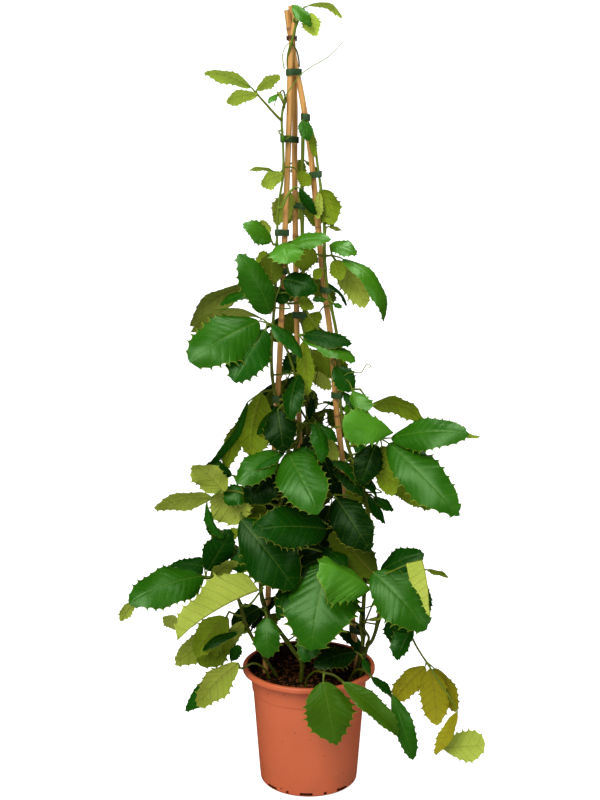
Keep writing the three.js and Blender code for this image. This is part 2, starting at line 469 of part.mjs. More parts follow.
// One leaflet: a stalk along the given points to the base, then a toothed blade to the tip, in one lens
function bladeGeometry(stalk, base, tip, width, normal, arch, fold) {
  const length = base.distanceTo(tip);
  const along = tip.clone().sub(base).normalize();
  const side = along.clone().cross(normal).normalize();
  const teeth = length > LONG_BLADE ? 4 : (length > SHORT_BLADE ? 3 : 2);
  const ribCount = length > BROAD_RIB ? 2 : 1;
  const spread = Math.cos(THREE.MathUtils.degToRad(fold)) * width / 2;
  const drop = Math.sin(THREE.MathUtils.degToRad(fold)) * width / 2;
  const rib = (u) => base.clone().lerp(tip, u).addScaledVector(normal, arch * length * 4 * u * (1 - u));
  const positions = [];
  const add = (point) => {
    positions.push(point.x, point.y, point.z);
    return positions.length / 3 - 1;
  };
  const above = [];
  const below = [];
  const ribAt = [];
  const edges = { right: [], left: [] };
  const ribPoint = (place, at, up, thickness) => {
    above.push(add(place.clone().addScaledVector(up, thickness / 2)));
    below.push(add(place.clone().addScaledVector(up, -thickness / 2)));
    ribAt.push(at);
  };
  const ring = (place, at, out, up, radius) => {
    ribPoint(place, at, up, radius * 2);
    edges.right.push([add(place.clone().addScaledVector(out, radius)), at]);
    edges.left.push([add(place.clone().addScaledVector(out, -radius)), at]);
  };
  const root = add(stalk[0]);
  const end = add(rib(1));
  // Rings of the stalk, each square to its own run, from the neck at the base back to the root
  const stalkEnd = stalk[stalk.length - 1];
  const lastRun = base.clone().sub(stalkEnd).setLength(base.distanceTo(stalkEnd) > 1 ? 1 : 0);
  const neck = lastRun.add(along).normalize();
  const up = normal.clone().addScaledVector(neck, -normal.dot(neck)).normalize();
  const rings = [[base, neck.clone().cross(up), up.clone()]];
  for (let i = stalk.length - 1; i > 0; i--) {
    const next = i + 1 < stalk.length ? stalk[i + 1] : base;
    const run = next.clone().sub(stalk[i - 1]).normalize();
    up.addScaledVector(run, -up.dot(run)).normalize();
    rings.unshift([stalk[i], run.clone().cross(up), up.clone()]);
  }
  rings.forEach(([place, out, upward], i) => {
    ring(place, i + 1 - rings.length, out, upward, i + 1 < rings.length ? PETIOLE_RADIUS : STALK_RADIUS);
  });
  for (let i = 1; i <= ribCount; i++) {
    const u = 0.14 + (0.72 * (i - 0.5)) / ribCount;
    ribPoint(rib(u), u, normal, BLADE_THICKNESS);
  }
  // Margin of each half: a smooth wedge, then a tooth and a notch in turn
  for (const [list, sign] of [[edges.right, 1], [edges.left, -1]]) {
    const margin = (u, share) => {
      const reach = sign * spread * share;
      const place = rib(u).addScaledVector(side, reach).addScaledVector(normal, -drop * share);
      list.push([add(place), u]);
    };
    margin(0.16, halfWidth(0.16));
    for (let k = 0; k < teeth; k++) {
      const u = 0.34 + (0.56 * k) / (teeth - 1);
      const notch = u + 0.04;
      margin(u, halfWidth(u) * (1 + TOOTH_DEPTH / 2) + TOOTH_DEPTH / 4);
      margin(notch, Math.max(halfWidth(notch) * (1 - TOOTH_DEPTH), 0.1));
    }
  }
  const index = [];
  // The strip between the rib and an edge, walked from root to tip, alike on both faces
  const strip = (ribRow, list, flip) => {
    const triangle = (a, b, c) => {
      if (flip) index.push(a, c, b);
      else index.push(a, b, c);
    };
    let ribStep = 0;
    let edgeStep = 0;
    triangle(root, list[0][0], ribRow[0]);
    while (ribStep < ribRow.length - 1 || edgeStep < list.length - 1) {
      const ribNext = ribStep < ribRow.length - 1 ? ribAt[ribStep + 1] : Infinity;
      const edgeNext = edgeStep < list.length - 1 ? list[edgeStep + 1][1] : Infinity;
      const edgeHere = list[edgeStep][0];
      if (edgeNext <= ribNext) {
        triangle(ribRow[ribStep], edgeHere, list[edgeStep + 1][0]);
        edgeStep += 1;
      } else {
        triangle(ribRow[ribStep], edgeHere, ribRow[ribStep + 1]);
        ribStep += 1;
      }
    }
    triangle(ribRow[ribStep], list[edgeStep][0], end);
  };
  strip(above, edges.right, false);
  strip(below, edges.right, true);
  strip(above, edges.left, true);
  strip(below, edges.left, false);
  const geometry = new THREE.BufferGeometry();
  geometry.setAttribute('position', new THREE.Float32BufferAttribute(positions, 3));
  geometry.setIndex(index);
  return geometry;
}

// The upper face's direction: from the viewer, turned clockwise about the rib by the roll
function faceDirection(base, tip, roll) {
  const along = tip.clone().sub(base).normalize();
  const toViewer = EYE.clone().sub(base.clone().lerp(tip, 0.5)).normalize();
  const facing = toViewer.addScaledVector(along, -toViewer.dot(along)).normalize();
  const clockwise = along.clone().cross(facing);
  const turn = THREE.MathUtils.degToRad(roll);
  return facing.multiplyScalar(Math.cos(turn)).addScaledVector(clockwise, Math.sin(turn));
}

// The stems of every leafy node as curves, and the solids that grow from them
const growth = new Map();

function growStems() {
  for (const [node, radius, path] of STEMS) {
    if (!growth.has(node)) growth.set(node, { stems: [], solids: [] });
    const plant = growth.get(node);
    const points = path.map(seen);
    if (plant.stems.length > 0) points[0] = nearestOn(plant.stems, points[0]);
    const [before, last] = points.slice(-2);
    points.push(last.clone().add(last.clone().sub(before).setLength(STEM_STUB)));
    const curve = curveThrough(points);
    const steps = Math.round(curve.getLength() / STEM_RUN);
    plant.stems.push({ curve, radius, sides: STEM_SIDES, steps });
    plant.solids.push(solid(rod(curve, radius, STEM_SIDES, steps)));
  }
}

// The petiole is the first leaflet's stalk, which the other leaflets' stalks spring from at the hub
function stalkTo(plant, waypoints) {
  const hub = waypoints[waypoints.length - 1];
  const start = nearestOn(plant.stems, waypoints[0]);
  if (start.distanceTo(hub) < STALK_RADIUS * 2) return [start];
  return [start, ...waypoints];
}

function stalkFrom(petioleRun, hub, base) {
  const before = petioleRun.length > 1 ? petioleRun[petioleRun.length - 2] : hub;
  const away = base.clone().sub(hub);
  const inside = before.clone().sub(hub);
  const root = hub.clone().add(inside.setLength(Math.min(STALK_SINK, inside.length() / 3)));
  if (away.length() < STALK_LEAD * 2.5) return [root];
  return [root, hub.clone().add(away.setLength(STALK_LEAD))];
}

function growMeasuredLeaves() {
  for (const [node, hubPlace, petiole, leaflets] of LEAVES) {
    const plant = growth.get(node);
    const hub = seen(hubPlace);
    const petioleRun = stalkTo(plant, [...petiole.map(seen), hub]);
    leaflets.forEach(([bx, bz, bd, tx, tz, td, width, roll, arch, fold], number) => {
      const base = seen([bx, bz, bd]);
      const tip = seen([tx, tz, td]);
      const normal = faceDirection(base, tip, roll);
      const stalk = number === 0 ? petioleRun : stalkFrom(petioleRun, hub, base);
      plant.solids.push(solid(bladeGeometry(stalk, base, tip, width * CM, normal, arch, fold)));
    });
  }
}

function heading(azimuth, rise) {
  const turn = THREE.MathUtils.degToRad(azimuth);
  const lift = THREE.MathUtils.degToRad(rise);
  return new THREE.Vector3(
    Math.cos(turn) * Math.cos(lift), Math.sin(turn) * Math.cos(lift), Math.sin(lift));
}

function growBackLeaves() {
  for (const [node, height, reach, azimuth, rise, leafletLength] of BACK_LEAVES) {
    const plant = growth.get(node);
    const start = centreAt(plant.stems[0], height);
    const middle = start.clone().addScaledVector(heading(azimuth, rise + 15), reach * CM * 0.5);
    const hub = start.clone().addScaledVector(heading(azimuth, rise), reach * CM);
    const petioleRun = [start, middle, hub];
    HAND_SPREAD.forEach((spread, finger) => {
      const length = leafletLength * CM * HAND_SHARE[finger];
      const pointing = heading(azimuth + spread, -HAND_DROOP);
      const base = hub.clone().addScaledVector(heading(azimuth + spread, 0), HUB_SPAN);
      const tip = base.clone().addScaledVector(pointing, length);
      const normal = heading(azimuth + spread, 90 - HAND_DROOP);
      const stalk = finger === 0 ? petioleRun : stalkFrom(petioleRun, hub, base);
      const width = length * BACK_LEAF_WIDTH;
      plant.solids.push(solid(
        bladeGeometry(stalk, base, tip, width, normal, BACK_LEAF_ARCH, BACK_LEAF_FOLD)));
    });
  }
}

function lathe(profile, sides) {
  const points = profile.map(([radius, height]) => new THREE.Vector2(radius, height));
  const geometry = new THREE.LatheGeometry(points, sides);
  geometry.rotateX(Math.PI / 2);
  return geometry;
}

// Outer radius of the pot's wall below the step
function wallRadius(height) {
  const share = (height - FOOT_ROUND) / (STEP_HEIGHT - FOOT_ROUND);
  return FOOT_RADIUS + share * (STEP_RADIUS - FOOT_RADIUS);
}

function collarRadius(height) {
  const start = STEP_RADIUS + STEP_DEPTH;
  const share = (height - STEP_HEIGHT) / (POT_HEIGHT - LIP_DROP - STEP_HEIGHT);
  return start + share * (COLLAR_RADIUS - start);
}

function potSolid() {
  const lipFoot = POT_HEIGHT - LIP_DROP;
  let pot = solid(lathe([
    [0, 0], [FOOT_RADIUS - FOOT_ROUND - 2, 0], [FOOT_RADIUS - 2.4, 2.4], [FOOT_RADIUS, FOOT_ROUND],
    [wallRadius(STEP_HEIGHT), STEP_HEIGHT], [collarRadius(STEP_HEIGHT + 1.5), STEP_HEIGHT + 1.5],
    [COLLAR_RADIUS, lipFoot - 2], [RIM_RADIUS - 2, lipFoot], [RIM_RADIUS, lipFoot + 2],
    [RIM_RADIUS, POT_HEIGHT - 3], [RIM_RADIUS - 2, POT_HEIGHT - 0.6], [RIM_RADIUS - 6, POT_HEIGHT],
    [COLLAR_RADIUS, POT_HEIGHT - 2.4], [COLLAR_RADIUS - WALL, lipFoot - 4],
    [collarRadius(STEP_HEIGHT) - WALL, STEP_HEIGHT + 2], [wallRadius(STEP_HEIGHT) - WALL, STEP_HEIGHT],
    [FOOT_RADIUS - WALL, FOOT_ROUND + 1], [FOOT_RADIUS - FOOT_ROUND, FLOOR], [0, FLOOR],
  ], POT_SIDES));
  // Long slots and small square holes take turns round the foot, a long one in front
  for (let i = 0; i < SLOT_COUNT * 2; i++) {
    const slot = new THREE.BoxGeometry(SLOT_CUT, i % 2 === 0 ? LONG_SLOT : SQUARE_SLOT, SLOT_HEIGHT);
    slot.translate(FOOT_RADIUS, 0, FLOOR + SLOT_HEIGHT / 2);
    slot.rotateZ((Math.PI * i) / SLOT_COUNT - Math.PI / 2);
    pot = pot.subtract(solid(slot));
  }
  return pot;
}

function soilSolid(poles) {
  const random = dice(7);
  const inner = (height) => (height < STEP_HEIGHT ? wallRadius(height) : collarRadius(height)) - WALL - GAP;
  const geometry = mergeVertices(stripped(lathe([
    [0, FLOOR + GAP], [FOOT_RADIUS - FOOT_ROUND - 1, FLOOR + GAP], [inner(FOOT_ROUND) - 1, FOOT_ROUND + 3],
    [inner(STEP_HEIGHT - 2), STEP_HEIGHT - 2], [inner(SOIL_LEVEL - 1) - 1, SOIL_LEVEL - 1],
    [62, SOIL_LEVEL], [32, SOIL_LEVEL], [0, SOIL_LEVEL],
  ], POT_SIDES)), 1e-4);
  const place = geometry.attributes.position;
  for (let i = 0; i < place.count; i++) {
    if (place.getZ(i) >= SOIL_LEVEL - 0.5) {
      place.setZ(i, SOIL_LEVEL + (random() - 0.5) * 2 * SOIL_ROUGHNESS);
    }
  }
  let soil = solid(geometry);
  for (const pole of poles) soil = soil.subtract(pole);
  return soil;
}

function stripped(geometry) {
  geometry.deleteAttribute('normal');
  geometry.deleteAttribute('uv');
  return geometry;
}

// A little wider and deeper than the cane or stem that stands in it
function holeFor({ curve, radius, sides, steps }) {
  const [first, second, ...rest] = curve.points;
  const deeper = first.clone().add(first.clone().sub(second).setLength(GAP));
  return solid(rod(curveThrough([deeper, second, ...rest]), radius + HOLE_CLEARANCE, sides, steps));
}

// Outline of a taut band round a few round things: each is [x, y, radius]
function bandOutline(rounds, extra) {
  const corners = [];
  for (const [x, y, radius] of rounds) {
    for (let i = 0; i < BAND_CORNERS; i++) {
      const turn = ((i + 0.5) / BAND_CORNERS) * Math.PI * 2;
      corners.push([x + (radius + extra) * Math.cos(turn), y + (radius + extra) * Math.sin(turn)]);
    }
  }
  corners.sort((a, b) => a[0] - b[0] || a[1] - b[1]);
  const cross = (o, a, b) => (a[0] - o[0]) * (b[1] - o[1]) - (a[1] - o[1]) * (b[0] - o[0]);
  const half = (list) => {
    const chain = [];
    for (const corner of list) {
      while (chain.length > 1 && cross(chain[chain.length - 2], chain[chain.length - 1], corner) <= 1e-6) {
        chain.pop();
      }
      chain.push(corner);
    }
    return chain.slice(0, -1);
  };
  return [...half(corners), ...half(corners.reverse())].map(([x, y]) => new THREE.Vector2(x, y));
}

function bandGeometry(height, rounds) {
  const cornerCut = CANE_RADIUS / Math.cos(Math.PI / BAND_CORNERS) - CANE_RADIUS;
  const slack = GAP + cornerCut;
  const shape = new THREE.Shape(bandOutline(rounds, slack + BAND_THICKNESS));
  shape.holes.push(new THREE.Path(bandOutline(rounds, slack)));
  const geometry = new THREE.ExtrudeGeometry(shape, { depth: BAND_HEIGHT, bevelEnabled: false });
  geometry.translate(0, 0, height - BAND_HEIGHT / 2);
  return geometry;
}

function finish(name, geometry, color, roughness) {
  const material = new THREE.MeshStandardMaterial({ color, roughness, metalness: 0 });
  const mesh = new THREE.Mesh(geometry, material);
  mesh.name = name;
  return mesh;
}

const part = new THREE.Group();
const canes = new Map(CANES.map(([name, path]) => [
  name, { curve: curveThrough(path.map(seen)), radius: CANE_RADIUS, sides: CANE_SIDES, steps: CANE_STEPS }]));

growStems();
growMeasuredLeaves();
growBackLeaves();

const holes = [...canes.values(), ...[...growth.values()].map((plant) => plant.stems[0])].map(holeFor);

part.add(finish('pot', geometryOf(potSolid()), COLORS.terracotta, 0.5));
part.add(finish('soil', geometryOf(soilSolid(holes)), COLORS.peat, 1));
for (const [name, { curve, radius, sides, steps }] of canes) {
  part.add(finish(name, rod(curve, radius, sides, steps), COLORS.bamboo, 0.6));
}
for (const [node, plant] of growth) {
  part.add(finish(node, geometryOf(joined(plant.solids)), COLORS.leaf, 0.4));
}
for (const [name, height, held] of BANDS) {
  const [cane, ...others] = held.flatMap(
    (thing) => (canes.has(thing) ? [canes.get(thing)] : growth.get(thing).stems));
  const middle = centreAt(cane, height);
  const near = others.filter((pole) => reaches(pole.curve, height)
    && centreAt(pole, height).distanceTo(middle) < BAND_REACH);
  const rounds = [cane, ...near].flatMap((pole) => [-1, 1].map((end) => {
    const spot = centreAt(pole, height + (end * BAND_HEIGHT) / CM / 2);
    return [spot.x, spot.y, pole.radius];
  }));
  part.add(finish(name, bandGeometry(height * CM, rounds), COLORS.tape, 0.5));
}

export default part;
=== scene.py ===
# %% [markdown]
# # A potted chestnut vine
# A climbing plant tied to three bamboo canes in a plastic nursery pot. The pot, soil, canes, stems,
# leaves and ties were measured as solids before this script. Here each of them gets its fine shape and
# its finish. The measured solids are loaded first.

# %% Load the measured frame
import math
import random

import bpy
import numpy as np
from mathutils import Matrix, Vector, noise


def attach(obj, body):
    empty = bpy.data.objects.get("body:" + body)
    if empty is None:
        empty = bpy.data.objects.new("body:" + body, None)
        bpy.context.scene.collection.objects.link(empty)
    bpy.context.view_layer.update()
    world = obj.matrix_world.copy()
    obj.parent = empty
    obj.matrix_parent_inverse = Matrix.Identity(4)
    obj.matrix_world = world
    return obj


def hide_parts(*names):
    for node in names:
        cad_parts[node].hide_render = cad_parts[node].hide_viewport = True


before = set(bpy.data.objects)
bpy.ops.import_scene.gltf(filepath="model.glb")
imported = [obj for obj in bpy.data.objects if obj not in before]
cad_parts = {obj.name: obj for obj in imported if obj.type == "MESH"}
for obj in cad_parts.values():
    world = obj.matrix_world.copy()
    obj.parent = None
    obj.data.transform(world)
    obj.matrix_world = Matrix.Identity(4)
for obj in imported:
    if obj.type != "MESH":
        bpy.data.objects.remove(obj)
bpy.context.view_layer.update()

# %% [markdown]
# ## Where everything is
# A plant has no straight datum to measure from, so every place on it is noted as it looks from the
# viewpoint: centimetres across and up on the upright plane through the pot's axis, and the depth behind
# that plane, negative towards the viewer. One function turns such a place into a point of the model.

# %% Places on the plant
CM = 0.01
MM = 0.001
EYE = Vector((-0.014, -1.960, 0.968))


def seen(across, height, depth):
    """The point that looks to be at (across, height), lying depth behind the upright plane."""
    on_plane = Vector((across * CM, 0, height * CM))
    return EYE + (on_plane - EYE) * (1 + depth * CM / -EYE.y)


def heading(azimuth, rise):
    """Unit vector: azimuth 0 points right and 90 straight back, rise is above the horizon."""
    turn, lift = math.radians(azimuth), math.radians(rise)
    return Vector((math.cos(turn) * math.cos(lift), math.sin(turn) * math.cos(lift), math.sin(lift)))


CANES = [
  ["cane_left", [
    [-7.3, 7.2, 0.9], [-6.9, 18, 0.8], [-5.6, 49.3, 0.4], [-4.6, 66, 0.2], [-4.0, 79, 0], [-3.4, 93, -0.2],
    [-2.95, 105, -0.4], [-2.85, 110, -0.45], [-2.55, 115, -0.55], [-1.9, 119, -0.6]]],
  ["cane_right", [
    [7.5, 8.4, 0.8], [7.65, 18, 0.8], [7.0, 25, 0.75], [6.4, 36, 0.7], [5.2, 51.5, 0.6], [4.2, 60, 0.5],
    [3.3, 71, 0.5], [2.2, 79, 0.5], [1.0, 91, 0.5], [0, 100, 0.5], [-1.15, 107, 0.5], [-2.0, 111, 0.5],
    [-2.7, 115, 0.5], [-3.3, 119.1, 0.5]]],
  ["cane_back", [
    [-0.9, 9.5, 7.1], [-1.0, 22, 6.6], [-1.5, 56, 4.9], [-1.85, 71, 4.1], [-2.1, 88, 3.1], [-2.2, 98, 2.5],
    [-2.15, 105, 2.1], [-2.3, 110, 1.8], [-2.5, 115, 1.55], [-2.7, 119.7, 1.55]]],
]

# Stems: (plant, radius in mm, path). A plant's first path stands in the soil, others branch off it
STEMS = [
  ["vine_left", 3.4, [
    [-1.5, 10.0, -3.8], [-1.3, 15.2, -4.2], [-1.2, 19.2, -4.6], [-2.5, 21.2, -4.7], [-4.5, 24.2, -4.2],
    [-6.3, 26.8, -2.6], [-7.4, 30, -1.2], [-7.5, 35, -0.9], [-6.3, 40, -1.4], [-4.2, 46, -1.5]]],
  ["vine_left", 2.5, [
    [-4.4, 45.5, -1.5], [-2.6, 52, -1.4], [-1.7, 57.2, -1.3], [-3.4, 59.4, -1.4], [-4.9, 61.2, -1.4],
    [-5.5, 64, -1.1], [-5.75, 68, -1.0], [-5.5, 73, -1.0], [-5.1, 79, -1.1], [-4.9, 85, -1.2]]],
  ["vine_left", 1.8, [
    [-4.9, 84.5, -1.2], [-4.6, 91, -1.4], [-3.9, 95.6, -1.5], [-3.9, 99.5, -1.4], [-4.1, 103.6, -1.3],
    [-3.9, 105.1, -1.0], [-3.2, 107.1, 0.4], [-2.7, 108.9, 0.6], [-3.2, 111.2, 0.2], [-3.1, 113.1, -0.9],
    [-2.6, 114.6, -1.5], [-2.2, 116.2, -1.8], [-1.4, 118.5, -1.9]]],
  ["vine_right", 3.4, [
    [6.6, 12.0, -1.2], [7.7, 18, -1.2], [8.5, 22, -1.0], [8.6, 28, -0.8], [8.9, 34, -0.8], [9.4, 39, -0.8],
    [9.3, 43, -0.8], [8.4, 47.5, -0.8]]],
  ["vine_right", 2.5, [
    [8.6, 47, -0.8], [6.9, 51.5, -1.0], [5.6, 56, -0.9], [4.8, 61, -0.9], [4.6, 66, -0.6], [4.2, 71.5, -0.6],
    [3.4, 75.5, -0.8], [2.7, 79, -0.8], [2.3, 83, -0.8], [2.3, 87.5, -0.7]]],
  ["vine_right", 2.0, [
    [2.3, 87, -0.7], [1.9, 92, -0.7], [1.2, 97, -0.7], [0.5, 101.5, -0.9], [-0.5, 103.6, -1.3]]],
  ["vine_right", 2.0, [
    [4.5, 67, -0.6], [3.1, 70, -1.3], [1.9, 71.6, -1.5], [0, 74.5, -1.6], [-1.6, 77.3, -1.6],
    [-2.6, 79.6, -1.7], [-3.4, 82, -2.0]]],
  ["vine_back", 3.0, [
    [1.6, 14.5, 4.4], [1.4, 22, 4.6], [0.4, 34, 4.8], [0.1, 46, 4.4], [-0.2, 57, 3.8], [-0.5, 68, 3.2],
    [-0.9, 80, 2.6], [-1.1, 92, 2.1], [-1.0, 99, 1.7], [-0.9, 105, 1.9]]],
  ["shoot_left", 2.8, [
    [-4.4, 11.5, -1.6], [-5.0, 16.4, -1.9], [-7.2, 20.2, -2.6], [-8.9, 23.2, -3.2], [-10.2, 26.2, -3.8],
    [-11.0, 29.4, -4.2], [-12.4, 31.8, -4.5], [-14.4, 33.1, -4.8], [-16.2, 33.2, -5.0]]],
  ["shoot_right", 2.8, [
    [7.6, 12.5, -3.2], [8.4, 17.5, -3.5], [9.2, 21.6, -3.6], [10.1, 23.0, -3.7], [10.9, 26.0, -3.9],
    [11.2, 29, -4.0], [10.4, 32, -4.0], [9.6, 35.4, -3.8]]],
  ["shoot_front", 1.8, [
    [-0.6, 12.0, -6.2], [-0.4, 15.9, -6.6], [0.4, 17.2, -8.2], [1.3, 17.7, -10.0], [2.5, 17.4, -11.6],
    [4.0, 17.0, -12.2], [5.3, 16.0, -12.4]]],
  ["shoot_low_left", 1.8, [
    [-5.6, 12.5, -3.4], [-6.3, 16.6, -3.7], [-7.3, 18.3, -4.3], [-8.8, 19.0, -5.0], [-10.3, 18.3, -5.4]]],
  ["shoot_low_right", 1.8, [
    [6.2, 12.5, -4.6], [6.6, 16.4, -5.0], [7.6, 17.9, -6.4], [8.8, 17.8, -8.0], [9.9, 16.8, -9.0],
    [11.4, 15.2, -9.6], [12.9, 13.7, -9.9]]],
]

# %% [markdown]
# ## The leaves, one by one
# A chestnut vine has compound leaves: three to five toothed leaflets spread from one hub at the end of a
# petiole. They could be scattered by a rule, but then the plant would be any vine. So each leaf of the
# near side is noted by itself: its hub, the petiole's way points, and for each leaflet the base, the tip,
# the width, how far the glossy face is rolled away from the viewer, the bow of the rib, the fold of the
# two halves, and a word for its tone. Places are in centimetres as seen, and angles in degrees.

